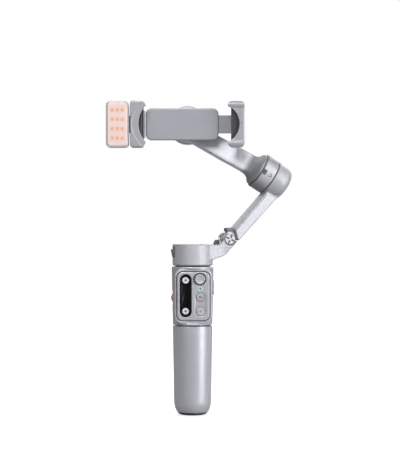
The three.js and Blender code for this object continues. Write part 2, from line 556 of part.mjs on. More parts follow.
function makeClamp() {
  const { lowZ, highZ, grip: half } = clamp;
  add(clampFrame, 'roll_rotor', finish.steel, facingBack(turned([[0, 13.5], [13.5, 13.5], [13.5, 18],
    [2.6, 18], [2.6, 32], [0, 32]], 32)));

  const base = plate(roundedRect(-36.8, 27.5, -14, 14, 5), 4.3, 13.2, 0.6);
  add(clampFrame, 'clamp_base', finish.frame, cut(base, box([-35.8, 40], [5.5, 9.1], [-8.4, 8.4])));

  // Sliding jaw: a lip in front of the phone, a cheek beside it, and a tongue that runs in the base.
  const { outerX, tipX, arcX, arcRadius } = rightJaw;
  const cheek = cut(plate(roundedRect(tipX, outerX, lowZ, highZ, 3.8), -9.5, 3.9, 0.9),
    bar(arcRadius, [arcX, -20, -0.6], [arcX, -6.3, -0.6], FINE),
    box([20, half + 0.2], [-6, 20], [-30, 30]),
    box([20, 45.7], [-7, 3], [-15.4, 14.8]));
  const tail = plate(roundedRect(46, outerX - 0.4, lowZ + 2, highZ - 2, 1.8), 2.5, 9.6, 0.6);
  const tongue = box([-17, 48], [5.8, 8.8], [-8, 8]);
  add(clampFrame, 'sliding_jaw', finish.shell, join(cheek, tail, tongue));
  add(clampFrame, 'sliding_pad', finish.rubber,
    plate(roundedRect(half + 0.05, 45.4, -15.1, 14.5, 1.2), -6.4, 2.7));

  const leftOutline = outlineOf([[leftJaw.tipX, 16.6], [-39, highZ], [leftJaw.outerX + 2.6, highZ],
    [leftJaw.outerX + 0.8, highZ - 0.8], [leftJaw.outerX, highZ - 2.6], [leftJaw.outerX, lowZ + 2.6],
    [leftJaw.outerX + 0.8, lowZ + 0.8], [leftJaw.outerX + 2.6, lowZ], [-39, lowZ], [leftJaw.tipX, -16.8]]);
  const window = outlineOf([[-30, 16.6], [leftJaw.tipX, 16.6], [-40.8, 10.4], [leftJaw.cutX, 5.7],
    [leftJaw.cutX, -6.3], [-40.5, -11], [leftJaw.tipX, -16.8], [-30, -16.8]]);
  const fixedCheek = cut(plate(leftOutline, -9.5, 9.6, 0.9),
    plate(window, -20, -6.3),
    box([-half - 0.2, -20], [-6, 20], [-30, 30]),
    box([-43.3, -20], [-7, 3], [-15.4, 14.8]));
  const bridge = box([-42, -37.2], [4.6, 9.3], [-12, 12]);
  const nub = plate(roundedRect(-48.6, -46, highZ - 1, highZ + 1.1, 0.6), -1.6, 1.6);
  add(clampFrame, 'fixed_jaw', finish.shell, join(fixedCheek, bridge, nub));
  add(clampFrame, 'fixed_pad', finish.rubber,
    plate(roundedRect(-43, -half - 0.05, -15.1, 14.5, 1.2), -6.4, 2.7));

  const coils = 6;
  const steps = coils * 6;
  const [springStart, springEnd] = [-35.3, -17.4];
  const path = [];
  for (let i = 0; i <= steps; i += 1) {
    const angle = (2 * Math.PI * i) / 6;
    const x = springStart + ((springEnd - springStart) * i) / steps;
    path.push(new THREE.Vector3(x, 7.3 + 1.2 * Math.cos(angle), 1.2 * Math.sin(angle)));
  }
  const wire = new THREE.Shape();
  wire.absarc(0, 0, 0.3, 0, 2 * Math.PI);
  add(clampFrame, 'clamp_spring', finish.steel, new THREE.ExtrudeGeometry(wire, {
    steps, curveSegments: 2, bevelEnabled: false, extrudePath: new THREE.CatmullRomCurve3(path) }));
}

function makeLight() {
  const { x0, x1, z0, z1, corner, frontY, backY } = light;
  const outline = (inset) => roundedRect(x0 + inset, x1 - inset, z0 + inset, z1 - inset, corner - inset);
  const contact = box([x1 - 1, leftJaw.outerX - GAP], [-4, 3], [-8, 7]);
  add(clampFrame, 'light_case', finish.frame,
    cut(join(plate(outline(0), frontY, backY, 0.9), contact), plate(outline(1.1), frontY - 5, -5.2)));
  add(clampFrame, 'light_board', finish.board, plate(outline(1.4), -6.2, -5.3));
  add(clampFrame, 'light_diffuser', finish.diffuser, plate(outline(1.25), frontY - 0.5, -6.5, 0.6));
}

makeGripShells();
makeGripInsides();
makeLegs();
makeGripControls();
makeRemote();
makeRod();
makePanStage();
makeFoldingArm();
makeTiltStage();
makeClamp();
makeLight();

export default gimbal;
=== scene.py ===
import json
import math

import bpy
from mathutils import Matrix, Vector


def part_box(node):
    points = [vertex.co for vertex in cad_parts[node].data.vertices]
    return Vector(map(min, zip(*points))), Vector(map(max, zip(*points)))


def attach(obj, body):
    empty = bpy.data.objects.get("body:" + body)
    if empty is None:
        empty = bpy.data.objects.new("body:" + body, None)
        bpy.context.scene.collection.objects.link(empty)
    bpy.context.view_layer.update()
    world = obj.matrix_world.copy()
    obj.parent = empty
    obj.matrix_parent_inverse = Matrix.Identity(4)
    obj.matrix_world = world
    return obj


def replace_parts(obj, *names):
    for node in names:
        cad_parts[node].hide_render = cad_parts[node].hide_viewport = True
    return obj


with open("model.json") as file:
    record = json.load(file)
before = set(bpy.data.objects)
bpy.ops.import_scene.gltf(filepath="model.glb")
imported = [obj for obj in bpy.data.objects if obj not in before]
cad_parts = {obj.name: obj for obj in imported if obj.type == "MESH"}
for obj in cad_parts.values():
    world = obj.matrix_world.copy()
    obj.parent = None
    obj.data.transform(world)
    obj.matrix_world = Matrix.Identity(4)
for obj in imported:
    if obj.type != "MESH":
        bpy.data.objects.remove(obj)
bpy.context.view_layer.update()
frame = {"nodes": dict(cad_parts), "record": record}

# Looks of a folding phone gimbal. Lengths in this file are millimetres: piece() scales each mesh to metres.
MM = 0.001
ROUND = 96  # facets round a large turned piece

joints = {joint["name"]: joint for joint in frame["record"]["behaviour"]["joints"]}


def joint_point(name):
    return Vector(joints[name]["pos_m"]) / MM


def joint_axis(name):
    return Vector(joints[name]["axis"]).normalized()


def node_box(node):
    low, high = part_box(node)
    return low / MM, high / MM


# ---------------------------------------------------------------- frames

# The arm's plane is turned about the pan axis. The tilt frame's Z runs along the tilt axis, towards
# the phone. The clamp's frame starts at the roll joint.
ROW = Matrix.Identity(4)
TO_VIEWER = joint_axis("arm_fold")
ARM = Matrix.Rotation(math.atan2(TO_VIEWER.x, -TO_VIEWER.y), 4, "Z")
TILT_AXIS = joint_axis("tilt_turn")
TILT = Matrix(((-TO_VIEWER).cross(TILT_AXIS), -TO_VIEWER, TILT_AXIS)).transposed().to_4x4()
TILT.translation = joint_point("tilt_turn")
CLAMP = Matrix.Translation(joint_point("roll_turn"))
TO_BACK = Matrix.Rotation(-math.pi / 2, 4, "X")  # turns a piece's Z to +Y
TO_FRONT = Matrix.Rotation(math.pi / 2, 4, "X")  # turns a piece's Z to -Y

# ---------------------------------------------------------------- outlines


def arc(x, z, radius, start, end, steps=12):
    angles = [math.radians(start + (end - start) * i / steps) for i in range(steps + 1)]
    return [(x + radius * math.cos(a), z + radius * math.sin(a)) for a in angles]


def curve(start, control, end, steps=10):
    points = []
    for i in range(steps + 1):
        t = i / steps
        points.append(tuple((1 - t) ** 2 * a + 2 * t * (1 - t) * b + t * t * c
                            for a, b, c in zip(start, control, end)))
    return points


def rounded_rect(x0, x1, z0, z1, radius):
    return (arc(x1 - radius, z0 + radius, radius, -90, 0)
            + arc(x1 - radius, z1 - radius, radius, 0, 90)
            + arc(x0 + radius, z1 - radius, radius, 90, 180)
            + arc(x0 + radius, z0 + radius, radius, 180, 270))


def pill(x0, x1, z0, z1):
    return rounded_rect(x0, x1, z0, z1, (x1 - x0) / 2 - 0.01)


def filleted(points, radius, closed=True, steps=6):
    """The outline with each corner turned into a curve that starts and ends at most radius from it."""
    made = []
    count = len(points)
    for i, point in enumerate(points):
        if not closed and i in (0, count - 1):
            made.append(point)
            continue
        corner = Vector(point)
        before = Vector(points[i - 1]) - corner
        after = Vector(points[(i + 1) % count]) - corner
        start = corner + before.normalized() * min(radius, before.length * 0.48)
        end = corner + after.normalized() * min(radius, after.length * 0.48)
        made += curve(start, corner, end, steps)
    return made


# ---------------------------------------------------------------- solids


def solid(points, faces, place):
    mesh = bpy.data.meshes.new("solid")
    mesh.from_pydata([place @ Vector(p) for p in points], [], faces)
    made = bpy.data.objects.new("solid", mesh)
    bpy.context.scene.collection.objects.link(made)
    return made


def extruded(outline, z0, z1, place=ROW):
    """A plan outline (x, y) through the heights z0 to z1."""
    if sum(a[0] * b[1] - b[0] * a[1] for a, b in zip(outline, outline[1:] + outline[:1])) < 0:
        outline = outline[::-1]
    count = len(outline)
    points = [(x, y, z) for z in (z0, z1) for x, y in outline]
    sides = [(i, (i + 1) % count, count + (i + 1) % count, count + i) for i in range(count)]
    return solid(points, sides + [tuple(range(count))[::-1], tuple(range(count, 2 * count))], place)


def prism(outline, y0, y1, place=ROW):
    """A front-view outline (x, z) through the depths y0 to y1."""
    return extruded(outline, -y1, -y0, place @ TO_FRONT)


def side_prism(outline, x0, x1):
    """A side-view outline (y, z) between two x positions."""
    return prism(outline, -x1, -x0, Matrix.Rotation(math.pi / 2, 4, "Z"))


def box(x, y, z, place=ROW):
    return prism([(x[0], z[0]), (x[1], z[0]), (x[1], z[1]), (x[0], z[1])], y[0], y[1], place)


def turned(profile, place=ROW, facets=ROUND):
    """A profile of (radius, z) points about Z. It starts and ends on the axis, or it closes on itself."""
    points, rings = [], []
    for radius, z in profile:
        if radius < 1e-6:
            rings.append([len(points)] * facets)
            points.append((0, 0, z))
        else:
            rings.append(list(range(len(points), len(points) + facets)))
            points += [(radius * math.cos(2 * math.pi * i / facets),
                        radius * math.sin(2 * math.pi * i / facets), z) for i in range(facets)]
    closed = profile[0][0] > 1e-6
    faces = []
    for k in range(len(rings) if closed else len(rings) - 1):
        low, high = rings[k], rings[(k + 1) % len(rings)]
        for i in range(facets):
            j = (i + 1) % facets
            corners = [low[i], low[j], high[j], high[i]]
            face = [c for n, c in enumerate(corners) if c != corners[n - 1]]
            if len(face) > 2:
                faces.append(face)
    return solid(points, faces, place)


def disc(radius, z0, z1, place=ROW, facets=ROUND):
    return turned([(0, z0), (radius, z0), (radius, z1), (0, z1)], place, facets)


def tube(bore, radius, z0, z1, place=ROW, edge=0.3):
    return turned(filleted([(bore, z0), (radius, z0), (radius, z1), (bore, z1)], edge), place)


def bar(radius, start, end, place=ROW, edge=0.0, facets=48):
    start, end = Vector(start), Vector(end)
    length = (end - start).length
    profile = [(0, 0), (radius, 0), (radius, length), (0, length)]
    if edge:
        profile = filleted(profile, edge, closed=False)
    turn = (end - start).to_track_quat("Z", "Y").to_matrix().to_4x4()
    return turned(profile, place @ Matrix.Translation(start) @ turn, facets)


def loft(sections, place):
    """A skin through squared-off ovals (z, y, half_x, half_y, power), eased between the given ones."""
    eased = []
    for a, b in zip(sections, sections[1:]):
        eased += [tuple(p + (q - p) * i / 4 for p, q in zip(a, b)) for i in range(4)]
    eased.append(sections[-1])
    points = []
    for z, y, half_x, half_y, power in eased:
        for i in range(ROUND):
            angle = 2 * math.pi * i / ROUND
            across, deep = (math.copysign(abs(f(angle)) ** (2 / power), f(angle))
                            for f in (math.cos, math.sin))
            points.append((half_x * across, y + half_y * deep, z))
    faces = []
    for s in range(len(eased) - 1):
        for i in range(ROUND):
            a, b = s * ROUND + i, s * ROUND + (i + 1) % ROUND
            faces.append((a, b, b + ROUND, a + ROUND))
    last = (len(eased) - 1) * ROUND
    faces += [tuple(range(ROUND))[::-1], tuple(range(last, last + ROUND))]
    return solid(points, faces, place)


def applied(thing):
    bpy.context.view_layer.update()
    made = bpy.data.meshes.new_from_object(thing.evaluated_get(bpy.context.evaluated_depsgraph_get()))
    thing.modifiers.clear()
    thing.data = made
    return thing


def combine(operation, first, others):
    for other in others:
        step = first.modifiers.new("combine", "BOOLEAN")
        step.operation = operation
        step.solver = "MANIFOLD"
        step.object = other
    applied(first)
    for other in others:
        bpy.data.objects.remove(other)
    return first


def join(first, *others):
    return combine("UNION", first, others)


def cut(first, *others):
    return combine("DIFFERENCE", first, others)


def overlap(first, *others):
    return combine("INTERSECT", first, others)


def bevelled(thing, width, segments=3, angle=35):
    step = thing.modifiers.new("bevel", "BEVEL")
    step.width = width
    step.segments = segments
    step.angle_limit = math.radians(angle)
    return applied(thing)


def softened(thing, voxel, rounds=4):
    """Remeshes to even faces and rounds every edge and inner corner a little, as a moulding has them."""
    remesh = thing.modifiers.new("remesh", "REMESH")
    remesh.mode = "VOXEL"
    remesh.voxel_size = voxel
    smooth = thing.modifiers.new("smooth", "SMOOTH")
    smooth.factor = 0.5
    smooth.iterations = rounds
    return applied(thing)


# ---------------------------------------------------------------- materials

RANGE_KEYS = ("From Min", "From Max", "To Min", "To Max")  # the sockets of a map range node


class Look:
    """A node material: a shader whose colour, roughness and bump come from procedural patterns."""

    def __init__(self, name, metallic=0.0, roughness=0.5, **inputs):
        self.material = bpy.data.materials.new(name)
        self.material.use_nodes = True
        self.tree = self.material.node_tree
        self.shader = self.tree.nodes["Principled BSDF"]
        self.shader.inputs["Metallic"].default_value = metallic
        self.shader.inputs["Roughness"].default_value = roughness
        for key, value in inputs.items():
            self.shader.inputs[key.replace("_", " ")].default_value = value
        self.coordinates = self.node("ShaderNodeTexCoord").outputs["Object"]

    def node(self, kind, **settings):
        made = self.tree.nodes.new(kind)
        for key, value in settings.items():
            setattr(made, key, value)
        return made

    def feed(self, source, target):
        self.tree.links.new(source, target)

    def noise(self, scale, detail=2.0, stretch=(1, 1, 1)):
        mapping = self.node("ShaderNodeMapping")
        mapping.inputs["Scale"].default_value = stretch
        self.feed(self.coordinates, mapping.inputs["Vector"])
        texture = self.node("ShaderNodeTexNoise")
        texture.inputs["Scale"].default_value = scale
        texture.inputs["Detail"].default_value = detail
        self.feed(mapping.outputs["Vector"], texture.inputs["Vector"])
        return texture.outputs["Fac"]

    def span(self, value, low, high, from_low=0.3, from_high=0.7):
        spread = self.node("ShaderNodeMapRange")
        for key, number in zip(RANGE_KEYS, (from_low, from_high, low, high)):
            spread.inputs[key].default_value = number
        self.feed(value, spread.inputs["Value"])
        return spread.outputs["Result"]

    def mix(self, factor, first, second):
        mixer = self.node("ShaderNodeMix", data_type="RGBA")
        self.feed(factor, mixer.inputs["Factor"])
        for socket, colour in ((mixer.inputs["A"], first), (mixer.inputs["B"], second)):
            if isinstance(colour, tuple):
                socket.default_value = (*colour, 1)
            else:
                self.feed(colour, socket)
        return mixer.outputs["Result"]

    def edges(self, low=0.52, high=0.62):
        return self.span(self.node("ShaderNodeNewGeometry").outputs["Pointiness"], 0, 1, low, high)

    def colour(self, value):
        self.feed(value, self.shader.inputs["Base Color"])

    def roughness(self, value):
        self.feed(value, self.shader.inputs["Roughness"])

    def bump(self, *heights):
        """Each height is (value, strength, distance in metres)."""
        normal = None
        for value, strength, distance in heights:
            bump = self.node("ShaderNodeBump")
            bump.inputs["Strength"].default_value = strength
            bump.inputs["Distance"].default_value = distance
            self.feed(value, bump.inputs["Height"])
            if normal:
                self.feed(normal, bump.inputs["Normal"])
            normal = bump.outputs["Normal"]
        self.feed(normal, self.shader.inputs["Normal"])


def shade(colour, factor):
    return tuple(min(1.0, c * factor) for c in colour)


def satin_paint(name, colour, metallic=0.35, roughness=0.4, painted_light_range=None, edge=1.2):
    """Metallic paint: fine flake, faint cloudiness, handling marks in the gloss, and painted light and
    shade on the edges.

    With a range (low, high), a number stored on the mesh scales the colour between them, which paints light
    and shade on the part. An edge factor over 1 gives pale edges, a little wear with a painted highlight on
    the bevels, and one under 1 gives darker ones that reach further in, a painted dark reflection.
    """
    look = Look(name, metallic, roughness)
    flake = look.noise(2600, 3)
    cloud = look.noise(45, 3)
    # Painted light and shade: a number stored on the mesh picks the colour between the low and the high
    # scale.
    if painted_light_range:
        painted_light = look.node("ShaderNodeAttribute", attribute_name="painted_light").outputs["Fac"]
        body = look.mix(painted_light, shade(colour, painted_light_range[0]), shade(colour, painted_light_range[1]))
    else:
        body = look.mix(look.span(cloud, 0, 1), shade(colour, 0.965), shade(colour, 1.03))
    flaked = look.mix(look.span(flake, 0, 0.2), body, shade(colour, 1.22))
    # Edges: pale ones are a little wear with a painted highlight on the bevels, dark ones a painted dark
    # reflection.
    rims = look.edges() if edge > 1 else look.edges(0.504, 0.53)
    look.colour(look.mix(rims, flaked, shade(colour, edge)))
    look.roughness(look.span(look.noise(160, 4), roughness - 0.04, roughness + 0.05))
    look.bump((flake, 0.12, 0.00004), (cloud, 0.02, 0.0002))
    return look.material


def grained(name, colour, roughness=0.6, grain=1800, depth=0.00008, **inputs):
    """Moulded plastic or rubber: a fine spark-eroded grain over a slightly uneven colour."""
    look = Look(name, 0.0, roughness, **inputs)
    fine = look.noise(grain, 4)
    uneven = look.noise(90, 3)
    body = look.mix(look.span(uneven, 0, 1), shade(colour, 0.88), shade(colour, 1.12))
    # The edges are painted paler: a painted highlight along them.
    look.colour(look.mix(look.edges(0.53, 0.66), body, shade(colour, 1.5)))
    look.roughness(look.span(uneven, roughness - 0.06, roughness + 0.06))
    look.bump((fine, 0.35, depth), (uneven, 0.05, 0.0002))
    return look.material


def brushed(name, colour, roughness=0.28, along=(1, 1, 0.02)):
    """Bare metal with fine lines along one way."""
    look = Look(name, 1.0, roughness)
    lines = look.noise(3200, 3, along)
    look.colour(look.mix(look.span(lines, 0, 1), shade(colour, 0.86), shade(colour, 1.1)))
    look.roughness(look.span(lines, roughness - 0.06, roughness + 0.1))
    look.bump((lines, 0.2, 0.00003))
    return look.material


def polished_black(name):
    """Glossy black panel under a clear coat, with faint dust in the gloss."""
    look = Look(name, 0.0, 0.3, Specular_IOR_Level=0.1)
    smear = look.noise(70, 5)
    look.colour(look.mix(look.span(smear, 0, 1), (0.002, 0.002, 0.0025), (0.006, 0.006, 0.007)))
    look.roughness(look.span(smear, 0.24, 0.36))
    return look.material


def glowing(name, colour, strength):
    look = Look(name, 0.0, 0.3, Emission_Strength=strength)
    core = look.span(look.noise(1500, 2), 0, 1)
    tint = look.mix(core, shade(colour, 0.85), shade(colour, 1.15))
    look.colour(tint)
    look.feed(tint, look.shader.inputs["Emission Color"])
    return look.material


def frosted_diffuser(name):
    """Frosted cover: milky, finely pebbled, tinted where the lamps lie close behind it."""
    look = Look(name, 0.0, 0.36, Coat_Weight=0.25, Coat_Roughness=0.2)
    glow = look.node("ShaderNodeAttribute", attribute_name="glow").outputs["Fac"]
    milky = look.mix(look.span(look.noise(220, 3), 0, 1), (0.60, 0.49, 0.475), (0.65, 0.535, 0.515))
    tint = look.mix(glow, milky, (0.60, 0.30, 0.19))
    look.colour(tint)
    look.feed(tint, look.shader.inputs["Emission Color"])
    look.feed(look.span(glow, 0.1, 0.14, 0, 1), look.shader.inputs["Emission Strength"])
    look.bump((look.noise(1400, 3), 0.25, 0.00006))
    return look.material


def wound_wire(name):
    look = Look(name, 0.85, 0.36)
    turns = look.node("ShaderNodeTexWave", wave_type="RINGS", rings_direction="Z")
    turns.inputs["Scale"].default_value = 900
    look.feed(look.coordinates, turns.inputs["Vector"])
    look.colour(look.mix(turns.outputs["Fac"], (0.30, 0.11, 0.035), (0.62, 0.30, 0.13)))
    look.bump((turns.outputs["Fac"], 0.6, 0.0002))
    return look.material


def solder_mask(name):
    """Circuit board: green lacquer over a grid of copper lands."""
    look = Look(name, 0.0, 0.35, Coat_Weight=0.3)
    lands = look.node("ShaderNodeTexBrick")
    lands.inputs["Scale"].default_value = 260
    lands.inputs["Mortar Size"].default_value = 0.06
    look.feed(look.coordinates, lands.inputs["Vector"])
    lacquer = look.mix(look.span(look.noise(130, 4), 0, 1), (0.012, 0.085, 0.035), (0.02, 0.13, 0.055))
    look.colour(look.mix(lands.outputs["Fac"], lacquer, (0.06, 0.2, 0.09)))
    look.bump((lands.outputs["Fac"], 0.3, 0.00006))
    return look.material


def shrink_wrap(name):
    look = Look(name, 0.0, 0.3, Coat_Weight=0.4)
    folds = look.noise(120, 4, (1, 1, 0.2))
    look.colour(look.mix(look.span(folds, 0, 1), (0.03, 0.09, 0.22), (0.05, 0.14, 0.32)))
    look.bump((folds, 0.35, 0.0004))
    return look.material


LOOKS = {
    "shell": satin_paint("shell_paint", (0.425, 0.43, 0.47), 0.45, 0.4),
    "arm": satin_paint("arm_paint", (0.40, 0.405, 0.435), 0.35, 0.43),
    "frame": satin_paint("frame_paint", (0.30, 0.305, 0.335), 0.35, 0.45),
    "dark": grained("dark_plastic", (0.05, 0.05, 0.055)),
    "rubber": grained("black_rubber", (0.04, 0.04, 0.043), 0.7, 1300, 0.00012),
    "steel": brushed("brushed_steel", (0.56, 0.56, 0.58)),
    "rotor": brushed("turned_aluminium", (0.60, 0.60, 0.62), 0.34, (1, 1, 0.05)),
    "winding": wound_wire("copper_winding"),
    "board": solder_mask("green_board"),
    "cell": shrink_wrap("battery_wrap"),
    "screen": polished_black("gloss_black"),
    "button": grained("pale_button", (0.33, 0.33, 0.355), 0.42, 2200, 0.00004),
    "accent": satin_paint("salmon_wheel", (0.44, 0.14, 0.105), 0.15, 0.45),
    "diffuser": frosted_diffuser("frosted_diffuser"),
    "lamp": glowing("green_lamp", (0.05, 0.24, 0.14), 0.35),
}
# Painted light and shade on the moving arms: a stored level scales the paint's colour from 0.4 to 1.75
# times, and the edges get a painted dark reflection.
PAINTED_LIGHT_RANGE = (0.4, 1.75)
NO_PAINTED_LIGHT = (1 - PAINTED_LIGHT_RANGE[0]) / (PAINTED_LIGHT_RANGE[1] - PAINTED_LIGHT_RANGE[0])  # the level of painted light that leaves the colour as it is
PAINT_WITH_PAINTED_LIGHT = satin_paint("paint_with_painted_light", (0.40, 0.405, 0.435), 0.3, 0.52, PAINTED_LIGHT_RANGE, 0.4)
JAW_PAINT = satin_paint("jaw_paint", (0.31, 0.315, 0.34), 0.3, 0.42)
RING_PLASTIC = grained("ring_plastic", (0.56, 0.56, 0.58), 0.38, 2200, 0.00004)
RECORD_PLASTIC = grained("record_plastic", (0.365, 0.345, 0.355), 0.4, 2200, 0.00004)
# The status lamp's glow, painted on a ring round it.
LAMP_GLOW_PAINT = grained("painted_lamp_glow", (0.36, 0.43, 0.41), 0.45)
CASE_PAINT = satin_paint("case_paint", (0.50, 0.47, 0.48), 0.2, 0.42)
# Grey rubber for the fold stops, and for the painted shade of the slot where the hinge's neck enters the
# upper arm.
GREY_RUBBER_AND_GAP_SHADE = grained("grey_rubber_and_gap_shade", (0.135, 0.135, 0.145), 0.6, 1300, 0.0001)
# Dark grey for printed marks, and for the painted shade of the seam on the upper arm.
INK_AND_SEAM_SHADE = grained("grey_ink_and_seam_shade", (0.085, 0.085, 0.095), 0.5)
RED_INK = grained("red_ink", (0.36, 0.13, 0.12), 0.45)

for entry in frame["record"]["subparts"]:
    cad_node = frame["nodes"][entry["node"]]
    cad_node.data.materials.clear()
    cad_node.data.materials.append(LOOKS[entry["material_slot"]])

body_of = {node: body for body, nodes in frame["record"]["behaviour"]["bodies"].items() for node in nodes}
slot_of = {entry["node"]: entry["material_slot"] for entry in frame["record"]["subparts"]}


def piece(name, thing, body, slot, material=None):
    """Finishes a solid: metres, smooth shading, a material, and the body it rides on."""
    thing.name = name
    thing.data.transform(Matrix.Scale(MM, 4))
    thing.data.polygons.foreach_set("use_smooth", [True] * len(thing.data.polygons))
    thing.data.materials.clear()
    thing.data.materials.append(material or LOOKS[slot])
    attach(thing, body)
    return thing


def painted(thing, attribute, value_at):
    """Stores a number from 0 to 1 at each point of a solid still in millimetres."""
    values = thing.data.attributes.new(attribute, "FLOAT", "POINT")
    for vertex, item in zip(thing.data.vertices, values.data):
        item.value = min(1.0, max(0.0, value_at(vertex.co)))
    return thing


def with_painted_light(thing, painted_light_at):
    """Stores the painted light at each point: low values paint shade on the part, high ones paint light."""
    return painted(thing, "painted_light", painted_light_at)


def ramp(value, low, high):
    """From 0 at low to 1 at high, with soft ends."""
    t = min(1.0, max(0.0, (value - low) / (high - low)))
    return t * t * (3 - 2 * t)


def blended(first, second, share):
    return first + (second - first) * share


def stand_in(node, thing, look=None):
    """The finished piece for one CAD node."""
    made = piece(node + "_skin", thing, body_of[node], slot_of[node], look)
    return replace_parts(made, node)


# ---------------------------------------------------------------- grip

GAP = 0.3
SKIRT_DROP = 0.7  # how far the collar's rim hangs below its own underside
GRIP_TOP_Z = node_box("grip_front_shell")[1].z
GRIP_TOP_RADIUS = node_box("grip_rear_shell")[1].y
GRIP_LOW_Z = node_box("grip_front_shell")[0].z
GRIP_END_RADIUS = 16.4
FOOT_RADIUS = 9.5
FOOT_HEIGHT = 13
TAPER_TOP_Z = 126
CAVITY_RADIUS = 15.9
CAVITY_LOW_Z = 70
HUB_ROOM_TOP_Z = 82.3
LID_Z = 128.3

REMOTE_LOW, REMOTE_HIGH = node_box("remote_face")
REMOTE_BACK_Y = node_box("remote_tray")[1].y
REMOTE_SEAM_Y = REMOTE_HIGH.y
REMOTE_CORNER = 4.8
FACE_Y = REMOTE_LOW.y
PANEL_FLAT_Y = -16.8
PANEL_CORNER = 7
PANEL_MARGIN = 2.8
POCKET_FLOOR_Y = -10.2
INNER_WALL_Y = -8.4


def grip_radius(z):
    """A rounded foot, then a slow taper up to the collar."""
    if z >= FOOT_HEIGHT:
        rise = min((z - FOOT_HEIGHT) / (TAPER_TOP_Z - FOOT_HEIGHT), 1)
        return GRIP_END_RADIUS + (GRIP_TOP_RADIUS - GRIP_END_RADIUS) * rise
    drop = (FOOT_HEIGHT - z) / FOOT_HEIGHT
    return FOOT_RADIUS + (GRIP_END_RADIUS - FOOT_RADIUS) * math.sqrt(1 - drop * drop)


def grip_profile(z0, z1):
    steps = max(2, round((z1 - z0) / 1.5))
    heights = [z0 + (z1 - z0) * (i / steps) ** 1.6 for i in range(steps + 1)]
    return [(grip_radius(z), z) for z in heights]


def remote_outline(inset):
    return rounded_rect(REMOTE_LOW.x + inset, REMOTE_HIGH.x - inset, REMOTE_LOW.z + inset,
                        REMOTE_HIGH.z - inset, REMOTE_CORNER - inset)


def grip_openings():
    """Room in the shells for the remote, leg hub, rod, zoom wheel, side key and trigger."""
    wheel_z = joint_point("zoom_turn").z
    key_low, key_high = node_box("side_button")
    trigger_low, trigger_high = node_box("trigger")
    return [prism(remote_outline(-0.5), -30, POCKET_FLOOR_Y),
            disc(CAVITY_RADIUS, CAVITY_LOW_Z, HUB_ROOM_TOP_Z),
            bar(7.25, (0, 0, 125), (0, 0, 140)),
            box((-25, -12.2), (-3.1, 3.1), (wheel_z - 6, wheel_z + 6)),
            box((14, 25), (key_low.y - GAP, key_high.y + GAP),
                (key_low.z - GAP, key_high.z + GAP)),
            box((trigger_low.x - 0.4, trigger_high.x + 0.4), (8, 25),
                (trigger_low.z - 0.4, trigger_high.z + 0.3))]


def make_grip():
    """The collar round the remote, in a front and a rear half that meet in a fine seam."""
    panel = rounded_rect(REMOTE_LOW.x - 2.1, REMOTE_HIGH.x + 2, REMOTE_LOW.z - PANEL_MARGIN,
                         REMOTE_HIGH.z + PANEL_MARGIN, PANEL_CORNER)
    top = [(GRIP_TOP_RADIUS, TAPER_TOP_Z + 1), (GRIP_TOP_RADIUS, GRIP_TOP_Z), (0, GRIP_TOP_Z)]
    skirt = [(0, GRIP_LOW_Z), (16.9, GRIP_LOW_Z)] + grip_profile(GRIP_LOW_Z - SKIRT_DROP, TAPER_TOP_Z)
    for node, y in (("grip_front_shell", (-30, -GAP / 2)), ("grip_rear_shell", (GAP / 2, 30))):
        column = turned(skirt + filleted(top, 1.1, False))
        body = cut(join(column, prism(panel, PANEL_FLAT_Y, -8)), prism(panel, -30, PANEL_FLAT_Y))
        cavity = overlap(disc(CAVITY_RADIUS, CAVITY_LOW_Z, LID_Z),
                         box((-20, 20), (INNER_WALL_Y, 20), (60, 140)))
        shell = cut(body, cavity, *grip_openings())
        stand_in(node, softened(overlap(shell, box((-30, 30), y, (CAVITY_LOW_Z, 140))), 0.3, 3))


# ---------------------------------------------------------------- legs and rod

SIDES = ("front", "right", "left")
LEG_TOP_Z = 78.1
LEG_PIN_Y = -15
PIN_HOLE_RADIUS = 1.05
EAR_RADIUS, EAR_HALF_WIDTH = 1.5, 2.5
BOSS_RADIUS, BOSS_INNER_X, BOSS_OUTER_X = 1.6, 3.1, 4.7
FOOT_TOP_Z = 1.9
TUBES = {  # radius, wall
    "guide_tube": (7.6, 0.65),
    "rod_outer_tube": (6.65, 0.7),
    "rod_inner_tube": (5.65, 0.7),
}


def leg_frame(side):
    """A leg's hinge point, and the turn about Z that takes the front leg's place to its own."""
    pin = joint_point(f"{side}_leg_swing")
    return pin, Matrix.Rotation(math.atan2(pin.x, -pin.y), 4, "Z")


def across_pin(radius, x0, x1, pin, turn):
    return bar(radius, (x0, LEG_PIN_Y, pin.z), (x1, LEG_PIN_Y, pin.z), turn)


def leg_third(turn):
    """A third of the grip in plan, half a gap short of its neighbours."""
    reach = 40
    apex = GAP / 2 / math.sin(math.pi / 3)
    across = reach * math.sin(math.pi / 3)
    corners = [(0, -apex), (-across, -apex - reach / 2), (across, -apex - reach / 2)]
    return extruded(corners, -5, 100, turn)


def make_legs():
    low = FOOT_TOP_Z + GAP
    for side in SIDES:
        pin, turn = leg_frame(side)
        ring = turned([(0, low)] + grip_profile(low, LEG_TOP_Z) + [(13.5, LEG_TOP_Z), (13.5, 7), (0, 7)])
        bosses = [across_pin(BOSS_RADIUS, s * BOSS_INNER_X, s * BOSS_OUTER_X, pin, turn) for s in (-1, 1)]
        shell = cut(join(overlap(ring, leg_third(turn)), *bosses),
                    box((-2.9, 2.9), (-16.8, -11), (72, 80), turn),
                    across_pin(PIN_HOLE_RADIUS, -BOSS_OUTER_X, BOSS_OUTER_X, pin, turn))
        stand_in(f"{side}_leg", softened(shell, 0.34, 3))
        sole = overlap(turned([(0, 0)] + grip_profile(0, FOOT_TOP_Z) + [(0, FOOT_TOP_Z)]), leg_third(turn))
        stand_in(f"{side}_foot", softened(sole, 0.2, 3))


